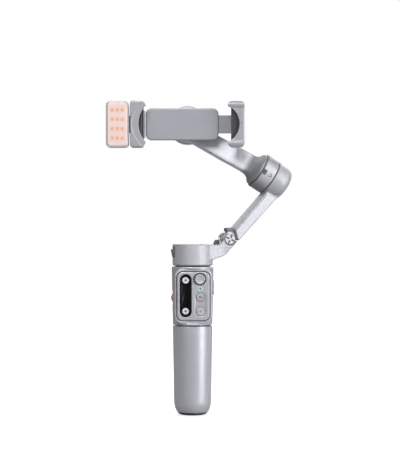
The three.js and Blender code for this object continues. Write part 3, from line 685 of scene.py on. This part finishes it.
def make_hub():
    ears = []
    for side in SIDES:
        pin, turn = leg_frame(side)
        root = box((-EAR_HALF_WIDTH, EAR_HALF_WIDTH), (LEG_PIN_Y, -10),
                   (pin.z - EAR_RADIUS, pin.z + EAR_RADIUS), turn)
        ear = join(root, across_pin(EAR_RADIUS, -EAR_HALF_WIDTH, EAR_HALF_WIDTH, pin, turn))
        ears.append(cut(ear, across_pin(PIN_HOLE_RADIUS, -4, 4, pin, turn)))
    hub = join(tube(7.9, 11.3, 60, 80), tube(7.9, 15.4, 79.6, 82))
    stand_in("leg_hub", softened(join(hub, *ears), 0.3, 3))


def make_rod():
    plug = [(0, 24.6), (7.6, 24.6), (7.6, 26.7), (6.6, 26.7), (6.6, 31), (0, 31)]
    stand_in("base_plug", turned(filleted(plug, 0.4, False)))
    for node, (radius, wall) in TUBES.items():
        low, high = node_box(node)
        stand_in(node, tube(radius - wall, radius, low.z, high.z, edge=0.25))
    post = [(0, 121.9), (4.6, 121.9), (4.6, 130.4), (15.3, 130.4), (15.3, 131.5), (4, 131.5), (4, 147),
            (0, 147)]
    stand_in("pan_base", turned(filleted(post, 0.3, False)))


# ---------------------------------------------------------------- controls on the grip


def make_zoom_wheel():
    wheel = joint_point("zoom_turn")
    radius, depth, teeth = 5.6, 0.42, 22
    rim = []
    for i in range(teeth * 8):
        angle = 2 * math.pi * i / (teeth * 8)
        r = radius - depth * (0.5 + 0.5 * math.cos(teeth * angle)) ** 1.5
        rim.append((wheel.x + r * math.cos(angle), wheel.z + r * math.sin(angle)))
    body = bevelled(prism(rim, -2.5, 2.5), 0.45, 3, 60)
    stand_in("zoom_wheel", cut(body, bar(1.25, (wheel.x, -4, wheel.z), (wheel.x, 4, wheel.z))))


def make_side_key():
    low, high = node_box("side_button")
    key = side_prism(rounded_rect(low.y, high.y, low.z, high.z, 2.4), low.x, high.x)
    stand_in("side_button", softened(bevelled(key, 0.8), 0.2, 3))


def make_trigger():
    """A rocker whose curved back has grooves for the finger. Its outline is (y, z)."""
    low, high = node_box("trigger")
    back = curve((21.6, 103), (20.6, 112), (18.9, 119), 16)
    rocker = curve((16.3, 99.8), (21.4, 98.9), (21.6, 103)) + back[1:] + [
        (17.6, 120.5), (15.5, 120.5), (14, 119), (14.4, 117.4), (16.3, 115)]
    grooves = [bar(0.5, (-4.4, y + 0.12, z), (4.4, y + 0.12, z), ROW, 0.4) for y, z in back[3:12:2]]
    body = bevelled(side_prism(rocker, low.x, high.x), 0.9, 3, 50)
    pin = bar(1, (-8, 15.5, 119), (8, 15.5, 119))
    stand_in("trigger", softened(cut(body, pin, *grooves), 0.24, 2))


# ---------------------------------------------------------------- remote

RING_BUTTONS = ("upper_ring_button", "lower_ring_button")
BUTTONS = {  # the look of each, where it isn't its slot's
    "upper_ring_button": RING_PLASTIC,
    "lower_ring_button": RING_PLASTIC,
    "mode_button": None,
    "record_button": RECORD_PLASTIC,
}
STICK_HOLE_RADIUS = 5.5
STICK_CAP_RADIUS, STICK_TOP, STICK_DEPTH = 4.35, 4.5, 0.5


def middle_of(node):
    low, high = node_box(node)
    return (low.x + high.x) / 2, (low.z + high.z) / 2


def half_width(node):
    low, high = node_box(node)
    return (high.x - low.x) / 2


def face_hole(radius, x, z):
    return bar(radius, (x, FACE_Y - 2, z), (x, REMOTE_BACK_Y - 1, z))


def make_tray():
    tray = bevelled(prism(remote_outline(0), REMOTE_SEAM_Y + 0.1, REMOTE_BACK_Y), 0.5)
    hollow = prism(remote_outline(1.2), REMOTE_SEAM_Y - 1, REMOTE_BACK_Y - 1.2)
    stand_in("remote_tray", softened(cut(tray, hollow), 0.28, 2))


def make_face():
    """The pale plate, open for the strip, stick, buttons and lamp, with a shallow round-ended groove."""
    stick = joint_point("stick_pitch")
    low, high = node_box("touch_strip")
    strip_room = pill(low.x - 0.15, high.x + 0.15, low.z - 0.15, high.z + 0.15)
    tools = [prism(strip_room, FACE_Y - 2, -17.5),
             prism(pill(2.1, 11.9, 86.7, 108.7), FACE_Y - 2, FACE_Y + 0.5),
             face_hole(STICK_HOLE_RADIUS, stick.x, stick.z)]
    tools += [face_hole(half_width(node) + 0.25, *middle_of(node)) for node in BUTTONS]
    tools.append(face_hole(0.8, *middle_of("status_lamp")))
    plate = bevelled(prism(remote_outline(0), FACE_Y, REMOTE_SEAM_Y), 0.75, 4, 60)
    stand_in("remote_face", softened(cut(plate, *tools), 0.2, 2))

    lamp_x, lamp_z = middle_of("status_lamp")
    # A greenish ring round the status lamp that is not lit itself: the lamp's glow painted on the face.
    ring = tube(0.85, 2.45, 0, 0.35, Matrix.Translation((lamp_x, FACE_Y + 0.28, lamp_z)) @ TO_FRONT, 0.1)
    piece("painted_lamp_glow_ring", ring, "remote_body", "lamp", LAMP_GLOW_PAINT)


def make_strip():
    low, high = node_box("touch_strip")
    strip = bevelled(prism(pill(low.x, high.x, low.z, high.z), low.y, high.y), 0.35, 3, 60)
    stand_in("touch_strip", cut(strip, *(face_hole(half_width(node) + 0.2, *middle_of(node))
                                         for node in RING_BUTTONS)))


def button_mark(name, node, mark, slot, ink):
    piece(name, mark, body_of[node], slot, ink)


def button_dot(name, node, radius, proud, edge, slot, ink):
    x, z = middle_of(node)
    y = node_box(node)[0].y
    button_mark(name, node, bar(radius, (x, y + 0.3, z), (x, y - proud, z), ROW, edge), slot, ink)


def make_buttons():
    for node, look in BUTTONS.items():
        low, high = node_box(node)
        x, z = middle_of(node)
        radius, depth = half_width(node), high.y - low.y
        cap = filleted([(0, 0), (radius, 0), (radius, depth), (0, depth)], 0.3, False)
        stand_in(node, turned(cap, Matrix.Translation((x, high.y, z)) @ TO_FRONT), look)
    for node in RING_BUTTONS:
        button_dot(node + "_dot", node, 0.95, 0.03, 0.05, "dark", INK_AND_SEAM_SHADE)
    button_dot("record_dot", "record_button", 0.8, 0.02, 0.1, "accent", RED_INK)
    x, z = middle_of("mode_button")
    y = node_box("mode_button")[0].y
    frame_mark = cut(prism(rounded_rect(x - 1.25, x + 1.25, z - 0.95, z + 0.95, 0.5), y - 0.02, y + 0.3),
                     prism(rounded_rect(x - 0.8, x + 0.8, z - 0.5, z + 0.5, 0.25), y - 1, y + 1))
    button_mark("mode_mark", "mode_button", frame_mark, "dark", INK_AND_SEAM_SHADE)


def make_stick():
    """A cradle ring and a dished cap on a short stem, about the point where both of its axes cross."""
    pivot = Matrix.Translation(joint_point("stick_pitch")) @ TO_FRONT
    stand_in("stick_cradle", tube(2.3, 4.9, -0.5, 0.5, pivot, 0.15), LOOKS["frame"])
    rim = STICK_CAP_RADIUS - 0.4
    dish = [(0, -0.5), (1.5, -0.5), (1.5, 2.9), (3.8, 3.05), (STICK_CAP_RADIUS, 3.6),
            (STICK_CAP_RADIUS, 4.15), (rim, STICK_TOP)]
    for i in range(1, 9):
        dish.append((rim - rim * i / 8, STICK_TOP - STICK_DEPTH * math.sin(math.pi / 2 * i / 8)))
    stand_in("stick_cap", turned(filleted(dish, 0.18, False), pivot), LOOKS["shell"])


# ---------------------------------------------------------------- pan stage and hinge

HINGE = joint_point("arm_fold")
HINGE_R = math.hypot(HINGE.x, HINGE.y)
HINGE_Z = HINGE.z
HALF_DEPTH = 9.5
PAN_BOTTOM_Z, PAN_TOP_Z, PAN_RADIUS = 130.9, 149.7, 17.7
NECK_FRONT_Y, NECK_BACK_Y = -6.2, 2.0
# Levels of painted light: a little painted shade on the lower arm, and painted light on the hinge's
# knuckle.
LOWER_ARM_PAINTED_SHADE, KNUCKLE_PAINTED_LIGHT = 0.4, 0.66


def hinge_bar(radius, y0, y1, *more):
    """A bar along the fold axis."""
    return bar(radius, (HINGE_R, y0, HINGE_Z), (HINGE_R, y1, HINGE_Z), ARM, *more)


def lower_arm_outline():
    """From inside the cup, up over the arm to the hinge, and back along the rounded underside."""
    return ([(6, 149.2)] + curve((19.5, 148.9), (22.6, 149.3), (24.4, 151.9))
            + curve((24.4, 151.9), (25.6, 153.8), (27, HINGE_Z))[1:] + [(HINGE_R, HINGE_Z)]
            + curve((38.2, 152.3), (37.2, 150.4), (34.2, 147.5))
            + curve((28.9, 141.9), (26.4, 139.4), (22.4, 138.2)) + [(16.1, 136.3), (6, 135.6)])


def make_pan_stage():
    """The cup over the pan motor, with the lower arm growing out of it up to the hinge."""
    rim = [(0, PAN_BOTTOM_Z), (PAN_RADIUS, PAN_BOTTOM_Z), (PAN_RADIUS, PAN_TOP_Z), (0, PAN_TOP_Z)]
    cup = turned(filleted(rim, 1.1, False))
    outline = lower_arm_outline()
    arm = bevelled(prism(outline, -HALF_DEPTH, HALF_DEPTH, ARM), 0.8, 3, 50)
    flare = (curve((4, -17), (16, -10.2), (27, -HALF_DEPTH), 16)
             + curve((27, HALF_DEPTH), (16, 10.2), (4, 17), 16))
    root = overlap(extruded(flare, 125, 160, ARM), prism(outline, -17, 17, ARM))
    sweep = arc(HINGE_R, HINGE_Z, 11.4, 72, 222, 24) + [(HINGE_R, HINGE_Z)]
    neck_room = prism(sweep, NECK_FRONT_Y - 1, NECK_BACK_Y + 1, ARM)
    body = cut(join(cup, arm, root), hinge_bar(5.1, -12, NECK_BACK_Y + GAP), neck_room)
    body = cut(join(body, hinge_bar(6, NECK_BACK_Y + GAP, HALF_DEPTH)), disc(15.6, 125, 147.6),
               hinge_bar(1.9, -4, 8.5), box((-20, -16.5), (-4, 4), (138.5, 147), ARM),
               box((20.6, 28.6), (2.9, 9.3), (149.4, 156), ARM))

    # Painted shade: the lower arm, out past the cup, is painted a little darker than the cup.
    def painted_light_at(point):
        return blended(NO_PAINTED_LIGHT, LOWER_ARM_PAINTED_SHADE, ramp(math.hypot(point.x, point.y), 18.2, 23))

    stand_in("pan_housing", with_painted_light(softened(body, 0.3, 9), painted_light_at), PAINT_WITH_PAINTED_LIGHT)
    hook = [(-16.7, 138.8), (-17.9, 138.8), (-19.1, 145), (-18.3, 145.4), (-17.3, 140.6), (-16.7, 140.3)]
    stand_in("fold_hook", softened(prism(hook, -3.2, 3.2, ARM), 0.14, 2), GREY_RUBBER_AND_GAP_SHADE)
    bumper = [(20.9, 149.7), (25.6, 149.7), (25.6, 153.4), (22.9, 153.4)]
    stand_in("fold_bumper", softened(prism(bumper, 3.2, 9, ARM), 0.2, 3), GREY_RUBBER_AND_GAP_SHADE)


def petal(degrees):
    """A leaf-shaped tool that sinks one recess into the front of the hinge's disc."""
    leaf = []
    for angle in range(0, 360, 15):
        turn = math.radians(angle)
        leaf.append((2.55 + 1.45 * math.cos(turn), 0.68 * math.sin(turn)))
    centre = ARM @ Matrix.Translation((HINGE_R, 0, HINGE_Z))
    place = centre @ Matrix.Rotation(-math.radians(degrees), 4, "Y")
    return prism(leaf, -HALF_DEPTH - 1, -HALF_DEPTH + 0.9, place)


def make_hinge():
    neck = [(28.4, 156.8), (30.2, 159.6), (30.2, 164.2), (35.7, 164.2), (35.7, 162.6), (37.5, 155.5),
            (37.8, 153.7), (33.2, 152.5)]
    knuckle = join(hinge_bar(4.7, -HALF_DEPTH, NECK_BACK_Y, 0.45, 64),
                   prism(filleted(neck, 1.2), NECK_FRONT_Y, NECK_BACK_Y, ARM))
    body = softened(cut(knuckle, hinge_bar(1.9, -5, 4), *map(petal, (65, 155, 245, 335))), 0.17, 2)
    to_disc = (ARM @ Matrix.Translation((HINGE_R, -HALF_DEPTH, HINGE_Z))).inverted()

    def painted_light_at(point):
        """Painted shade in the recesses of the disc's face, and painted light on the rest of the knuckle.
        """
        x, depth, z = to_disc @ point
        in_disc = 1 - ramp(math.hypot(x, z), 4.2, 4.4)
        return KNUCKLE_PAINTED_LIGHT - KNUCKLE_PAINTED_LIGHT * ramp(depth, 0.12, 0.4) * in_disc

    stand_in("hinge_knuckle", with_painted_light(body, painted_light_at), PAINT_WITH_PAINTED_LIGHT)
    # A thin dark sheet round the hinge's neck: painted shade of the slot where the neck enters the upper
    # arm.
    collar = cut(box((29.4, 35.8), (NECK_FRONT_Y - 0.7, NECK_BACK_Y + 0.7), (160.8, 163.9), ARM),
                 box((29.9, 40), (NECK_FRONT_Y - 0.15, NECK_BACK_Y + 0.15), (160, 165), ARM))
    stand_in("hinge_collar", softened(collar, 0.14, 2), GREY_RUBBER_AND_GAP_SHADE)


# ---------------------------------------------------------------- upper arm and tilt stage

DRUM_R, DRUM_LENGTH = 16.2, 12.2
TO_TILT = TILT.inverted()
BLADE_START = (36.3, 162.8)  # the low end of the blade's inner edge, in the arm's plane
BLADE_SIDE = (-0.745, 0.667)  # across the blade, towards its inner edge
# Levels of painted light on the blade, and of painted shade on the cap.
BLADE_PAINTED_LIGHT, CAP_PAINTED_SHADE = 0.63, 0.32


def make_upper_arm():
    blade = [BLADE_START, (64.4, 194.2), (70, 201), (80, 201), (82.6, 199.2), (78.4, 194.4),
             (69.2, 184.4), (39.1, 152.2)]
    arm = bevelled(prism(filleted(blade, 1.5), -HALF_DEPTH, HALF_DEPTH, ARM), 0.9, 3, 50)
    end = curve((9, -16.5), (14.6, -15.6), (15.8, -10.6), 14) + [(DRUM_R, -7.5)]
    rim = filleted([end[-1], (DRUM_R, -0.15), (0, -0.15)], 0.4, False)
    cap = turned([(0, -16.8)] + end + rim[1:], TILT)
    hollow = turned([(0, -12.6), (12, -10.5), (14.6, -7.6), (14.6, 1), (0, 1)], TILT)
    to_arm = ARM.inverted()

    def painted_light_at(point):
        """Painted light along the blade, strongest on its inner side, and painted shade round the cap."""
        x, _, z = to_arm @ point
        from_edge = (z - BLADE_START[1]) * BLADE_SIDE[1] + (x - BLADE_START[0]) * BLADE_SIDE[0]
        along_blade = blended(BLADE_PAINTED_LIGHT, 1, ramp(from_edge, -1.1, -0.4))
        local = TO_TILT @ point
        return blended(CAP_PAINTED_SHADE, along_blade, ramp(math.hypot(local.x, local.y), DRUM_R, DRUM_R + 2.5))

    stand_in("upper_arm", with_painted_light(softened(cut(join(arm, cap), hollow), 0.3, 10), painted_light_at), PAINT_WITH_PAINTED_LIGHT)
    # A dark grey strip along the blade's face: the shade in a seam, painted.
    seam = [(37.4, 162.4), (65.2, 193.5), (65.6, 193.15), (37.8, 162.05)]
    line = prism(seam, -HALF_DEPTH - 0.02, -HALF_DEPTH + 0.3, ARM)
    piece("arm_seam_shade", line, "folding_arm_body", "dark", INK_AND_SEAM_SHADE)


def make_tilt_drum():
    shaft = [(0, -10.4), (2.4, -10.4), (2.4, 8.6), (14.6, 8.6)]
    rim = [(14.6, 0.15), (DRUM_R, 0.15), (DRUM_R, DRUM_LENGTH), (0, DRUM_LENGTH)]
    body = turned(shaft + filleted(rim, 0.8, False), TILT)
    latch_room = box((-3.4, 0.6), (-20, 1.1 - DRUM_R), (8.6, 20), TILT)

    # Painted shade: the drum is painted darker towards both of its sides across the view, and plain in its
    # middle.
    def painted_light_at(point):
        return NO_PAINTED_LIGHT - 0.4 * ramp(abs((TO_TILT @ point).x), 4, 15)

    stand_in("tilt_drum", with_painted_light(softened(cut(body, latch_room), 0.3, 2), painted_light_at), PAINT_WITH_PAINTED_LIGHT)
    latch = box((-3.1, 0.3), (0.75 - DRUM_R, 2.2 - DRUM_R), (8.9, 11.8), TILT)
    piece("drum_latch", softened(latch, 0.15, 2), "tilt_body", "dark")
    loop = (arc(0, 0, 1.45, 180, 360) + [(1.45, 1.5), (0.95, 1.5)] + arc(0, 0, 0.95, 360, 180)
            + [(-0.95, 1.5), (-1.45, 1.5)])
    mark = prism(loop, -DRUM_R - 0.04, -DRUM_R + 0.4, TILT @ Matrix.Translation((-1.2, 0, 4.2)))
    piece("lock_mark", mark, "tilt_body", "dark", INK_AND_SEAM_SHADE)


def make_roll_arm():
    """A round root on the tilt drum that narrows to a flat bar, and the roll motor's housing at its end."""
    stem = loft([(12.5, 0, 14.9, 14.9, 2), (14.4, 0, 14.9, 14.9, 2), (15.6, 0.3, 13.5, 13.2, 2),
                 (17.2, 0.9, 11.2, 10.6, 2.3), (19.4, 1.6, 9.6, 8.4, 3), (22, 2.4, 8.85, 6.6, 5),
                 (25, 3.2, 8.75, 5.7, 8), (34, 6.2, 8.75, 5.6, 8), (40, 10, 8.75, 5.5, 8),
                 (66, 18.4, 8.75, 5.5, 8), (78, 22.6, 8.75, 5.5, 8)], TILT)
    back = CLAMP @ TO_BACK
    housing = turned(filleted([(0, 18.4), (17, 18.4), (17, 34), (0, 34)], 1.2, False), back)
    hollow = disc(15.4, 20.4, 40, back)
    shaft_hole = bar(2.9, (0, 10, 0), (0, 25, 0), CLAMP)
    flange_room = bar(14, (0, 5, 0), (0, 18.4, 0), CLAMP, 0, ROUND)
    body = softened(cut(join(stem, housing), hollow, shaft_hole, flange_room), 0.34, 4)

    def painted_light_at(point):
        """Painted shade where the root narrows, and painted light along the bar."""
        along = (TO_TILT @ point).z
        return 0.8 * ramp(along, 22, 27) + 0.1 * (1 - ramp(along, 13.5, 16))

    stand_in("roll_arm", with_painted_light(body, painted_light_at), PAINT_WITH_PAINTED_LIGHT)
    cover = [(0, 34.15), (17, 34.15), (17, 35.2), (16, 36), (11.6, 36.25), (11.3, 35.9), (10.9, 36.3),
             (0, 36.6)]
    stand_in("roll_cover", turned(filleted(cover, 0.35, False), back))
    rotor = [(0, 13.5), (13.5, 13.5), (13.5, 18), (2.6, 18), (2.6, 32), (0, 32)]
    stand_in("roll_rotor", turned(filleted(rotor, 0.4, False), back))


# ---------------------------------------------------------------- clamp

LIP_Y, BULGE_Y = -8.4, -9.5
JAW_LOW_Z, JAW_HIGH_Z = -20.9, 19.7
PAD_LOW_Z, PAD_HIGH_Z = -15.1, 14.5
PAD_ROOM_Z = (-15.4, 14.8)
HALF_GRIP = 38.4
WINDOW_BACK_Y = -6.3


def pad(x0, x1, ribs):
    """A rubber pad with upright ribs on the face that shows."""
    steps = ribs * 10
    front = []
    for i in range(steps + 1):
        swell = 0.3 * math.cos(2 * math.pi * ribs * i / steps)
        front.append((x0 + (x1 - x0) * i / steps, -6.1 - swell))
    return softened(extruded(front + [(x1, 2.7), (x0, 2.7)], PAD_LOW_Z, PAD_HIGH_Z, CLAMP), 0.22, 3)


def make_clamp_base():
    base = bevelled(prism(rounded_rect(-36.8, 27.5, -14, 14, 5), 4.3, 13.2, CLAMP), 0.8, 3, 60)
    trim = cut(prism(rounded_rect(-33.5, 24, -11, 11, 3.2), 3, 4.7, CLAMP),
               prism(rounded_rect(-33.1, 23.6, -10.6, 10.6, 2.9), 2, 6, CLAMP))
    tongue_room = box((-35.8, 40), (5.5, 9.1), (-8.4, 8.4), CLAMP)
    stand_in("clamp_base", softened(cut(base, tongue_room, trim), 0.3, 2))


def make_sliding_jaw():
    """A lip with a round window and rolled ends, and a tongue with a slot that the spring lies in."""
    outline = rounded_rect(35.4, 50.1, JAW_LOW_Z, JAW_HIGH_Z, 3.8)
    rolls = []
    for z in (JAW_LOW_Z + 3.5, JAW_HIGH_Z - 3.5):
        roll = bar(3.5, (33, BULGE_Y + 3.5, z), (51, BULGE_Y + 3.5, z), CLAMP, 2.4)
        rolls.append(overlap(roll, prism(outline, -12, 4, CLAMP)))
    cheek = join(bevelled(prism(outline, LIP_Y, 3.9, CLAMP), 1, 3, 50), *rolls)
    cheek = cut(cheek, bar(17.1, (28.5, -20, -0.6), (28.5, WINDOW_BACK_Y, -0.6), CLAMP, 0, ROUND),
                box((20, HALF_GRIP + 0.2), (-6, 20), (-30, 30), CLAMP),
                box((20, 45.7), (-7, 3), PAD_ROOM_Z, CLAMP),
                bar(0.55, (47.3, -12, 0), (47.3, LIP_Y + 0.6, 0), CLAMP))
    tail = prism(rounded_rect(46, 49.7, JAW_LOW_Z + 2, JAW_HIGH_Z - 2, 1.8), 2.5, 9.6, CLAMP)
    tongue = cut(box((-17, 48), (5.8, 8.8), (-8, 8), CLAMP), box((-18, 0.5), (5, 10), (-2.1, 2.1), CLAMP))
    stand_in("sliding_jaw", softened(join(cheek, bevelled(tail, 0.6), tongue), 0.3, 3), JAW_PAINT)
    dot = bar(0.5, (47.3, LIP_Y + 0.7, 0), (47.3, LIP_Y + 0.1, 0), CLAMP)
    piece("jaw_dot", dot, "jaw_body", "dark", INK_AND_SEAM_SHADE)
    stand_in("sliding_pad", pad(HALF_GRIP + 0.05, 45.4, 3))


def make_fixed_jaw():
    """A cheek with a curved window, a shallow step round the window, and a nub on top."""
    outline = [(-36.1, 16.6), (-39, JAW_HIGH_Z), (-50, JAW_HIGH_Z), (-50, JAW_LOW_Z), (-39, JAW_LOW_Z),
               (-36.1, -16.8)]
    window = ([(-30, 16.6), (-36.1, 16.6)] + curve((-36.1, 16.6), (-42.6, 8), (-42.8, -0.3), 14)[1:]
              + curve((-42.8, -0.3), (-42.6, -9), (-36.1, -16.8), 14)[1:] + [(-30, -16.8)])
    step = ([(-30, 20.5), (-38.4, 20.5)] + curve((-38.4, 20.5), (-48.6, 9.6), (-48.9, -0.3), 16)[1:]
            + curve((-48.9, -0.3), (-48.6, -10.6), (-38.4, -21.6), 16)[1:] + [(-30, -21.6)])
    cheek = bevelled(prism(filleted(outline, 2.4), BULGE_Y, 9.6, CLAMP), 1.1, 3, 50)
    cheek = cut(cheek, prism(step, -20, BULGE_Y + 0.55, CLAMP))
    cheek = cut(cheek, prism(window, -20, WINDOW_BACK_Y, CLAMP),
                box((-HALF_GRIP - 0.2, -20), (-6, 20), (-30, 30), CLAMP),
                box((-43.3, -20), (-7, 3), PAD_ROOM_Z, CLAMP))
    bridge = box((-42, -37.2), (4.6, 9.3), (-12, 12), CLAMP)
    nub = prism(rounded_rect(-48.6, -46, JAW_HIGH_Z - 1, JAW_HIGH_Z + 1.1, 0.6), -1.6, 1.6, CLAMP)
    stand_in("fixed_jaw", softened(join(cheek, bridge, nub), 0.3, 3), JAW_PAINT)
    stand_in("fixed_pad", pad(-43, -HALF_GRIP - 0.05, 2))


# ---------------------------------------------------------------- light

LIGHT_X, LIGHT_Z, LIGHT_Y = (-71.3, -51.2), (-21.2, 19.7), (-8.4, 4.6)
LIGHT_CORNER = 4
CHIP_PITCH = (4.45, 8.2)
CHIP_COLUMNS, CHIP_ROWS = 3, 4


def light_outline(inset):
    return rounded_rect(LIGHT_X[0] + inset, LIGHT_X[1] - inset, LIGHT_Z[0] + inset, LIGHT_Z[1] - inset,
                        LIGHT_CORNER - inset)


def chip_places():
    """Where the lamps shine through, as (x, z) in the whole object's frame."""
    centre = CLAMP @ Vector((sum(LIGHT_X) / 2, 0, sum(LIGHT_Z) / 2))
    return [(centre.x + CHIP_PITCH[0] * (i - (CHIP_COLUMNS - 1) / 2),
             centre.z + CHIP_PITCH[1] * (k - (CHIP_ROWS - 1) / 2))
            for i in range(CHIP_COLUMNS) for k in range(CHIP_ROWS)]


def glow_at(x, z, chips):
    """A squarish bright patch over each lamp, in a wide faint one."""
    near = sum(math.exp(-(((x - cx) / 1.45) ** 4 + ((z - cz) / 1.65) ** 4)) for cx, cz in chips)
    wide = sum(math.exp(-(((x - cx) / 3.0) ** 2 + ((z - cz) / 3.4) ** 2)) for cx, cz in chips)
    return min(1.0, 0.72 * near + 0.22 * wide)


def make_light():
    contact = box((LIGHT_X[1] - 1, -50.3), (-4, 3), (-8, 7), CLAMP)
    case = join(bevelled(prism(light_outline(0), *LIGHT_Y, CLAMP), 1.1, 4, 50), contact)
    tray = prism(light_outline(1.1), LIGHT_Y[0] - 5, -5.2, CLAMP)
    back_panel = bevelled(prism(light_outline(3.2), LIGHT_Y[1] - 0.5, LIGHT_Y[1] + 2, CLAMP), 0.2)
    stand_in("light_case", softened(cut(case, tray, back_panel), 0.28, 2), CASE_PAINT)

    cover = bevelled(prism(light_outline(1.25), LIGHT_Y[0] - 0.5, -6.5, CLAMP), 0.8, 4, 50)
    chips = chip_places()
    lit = painted(softened(cover, 0.3, 2), "glow", lambda point: glow_at(point.x, point.z, chips))
    stand_in("light_diffuser", lit)


make_grip()
make_legs()
make_hub()
make_rod()
make_zoom_wheel()
make_side_key()
make_trigger()
make_tray()
make_face()
make_strip()
make_buttons()
make_stick()
make_pan_stage()
make_hinge()
make_upper_arm()
make_tilt_drum()
make_roll_arm()
make_clamp_base()
make_sliding_jaw()
make_fixed_jaw()
make_light()

# ---------------------------------------------------------------- stage, light and camera

SKY = (0.15, 0.22)  # the studio's strength from the left to the right
LIGHTS = {  # place, size, power
    "key": ((1.0, -0.64, 0.2), (0.46, 1.2), 19),
    "front": ((-0.3, -1.3, 1.2), (0.7, 0.7), 21),
    "top": ((-0.35, 0.25, 1.5), (0.8, 0.8), 7),
    "back": ((0.4, 1.35, 0.8), (1.2, 0.9), 17),
}
LIGHT_AIM = Vector((0, 0, 0.15))
VIEW_HEIGHT = 0.396
CAMERA_X, CAMERA_Z = 0.0065, 0.1665
LENS, SENSOR_WIDTH = 130, 36


def make_floor():
    """A pale disc that fades to plain white away from the object, for the camera only."""
    floor = disc(6000, -40, -0.1, ROW, 128)
    floor.name = "floor"
    floor.data.transform(Matrix.Scale(MM, 4))
    look = Look("pale_floor", 0.0, 0.8)
    look.colour(look.mix(look.span(look.noise(6, 3), 0, 1), (0.33, 0.33, 0.335), (0.35, 0.35, 0.355)))
    look.shader.inputs["Emission Color"].default_value = (1, 1, 1, 1)
    reach = look.node("ShaderNodeVectorMath", operation="LENGTH")
    look.feed(look.coordinates, reach.inputs[0])
    fade = look.span(reach.outputs["Value"], 0.62, 1.0, 0.02, 0.14)
    seen = look.node("ShaderNodeMath", operation="MULTIPLY")
    look.feed(look.node("ShaderNodeLightPath").outputs["Is Camera Ray"], seen.inputs[0])
    look.feed(fade, seen.inputs[1])
    look.feed(seen.outputs["Value"], look.shader.inputs["Emission Strength"])
    floor.data.materials.append(look.material)


def make_sky():
    """White to the camera, and a dim light on the object that is a little stronger from the right."""
    world = bpy.data.worlds.new("studio")
    world.use_nodes = True
    nodes, links = world.node_tree.nodes, world.node_tree.links
    background = nodes["Background"]
    background.inputs["Color"].default_value = (1, 1, 1, 1)
    direction = nodes.new("ShaderNodeTexCoord")
    split = nodes.new("ShaderNodeSeparateXYZ")
    across = nodes.new("ShaderNodeMapRange")
    for key, number in zip(RANGE_KEYS, (-1, 1, *SKY)):
        across.inputs[key].default_value = number
    seen = nodes.new("ShaderNodeLightPath")
    strength = nodes.new("ShaderNodeMix")
    strength.inputs["B"].default_value = 1.0
    links.new(direction.outputs["Generated"], split.inputs["Vector"])
    links.new(split.outputs["X"], across.inputs["Value"])
    links.new(seen.outputs["Is Camera Ray"], strength.inputs["Factor"])
    links.new(across.outputs["Result"], strength.inputs["A"])
    links.new(strength.outputs["Result"], background.inputs["Strength"])
    bpy.context.scene.world = world


def make_lights():
    for name, (place, size, power) in LIGHTS.items():
        data = bpy.data.lights.new(name, "AREA")
        data.shape = "RECTANGLE"
        data.size, data.size_y = size
        data.energy = power
        lamp = bpy.data.objects.new(name, data)
        lamp.location = place
        lamp.rotation_euler = (LIGHT_AIM - Vector(place)).to_track_quat("-Z", "Y").to_euler()
        bpy.context.scene.collection.objects.link(lamp)


def make_camera():
    """A level view from far off, so that the object is drawn with little perspective."""
    data = bpy.data.cameras.new("camera")
    data.lens = LENS
    data.sensor_width = SENSOR_WIDTH
    data.clip_end = 20
    camera = bpy.data.objects.new("camera", data)
    camera.location = (CAMERA_X, -VIEW_HEIGHT * LENS / SENSOR_WIDTH, CAMERA_Z)
    camera.rotation_euler = (math.pi / 2, 0, 0)
    bpy.context.scene.collection.objects.link(camera)
    bpy.context.scene.camera = camera
    bpy.context.scene.view_settings.view_transform = "Standard"


make_floor()
make_sky()
make_lights()
make_camera()
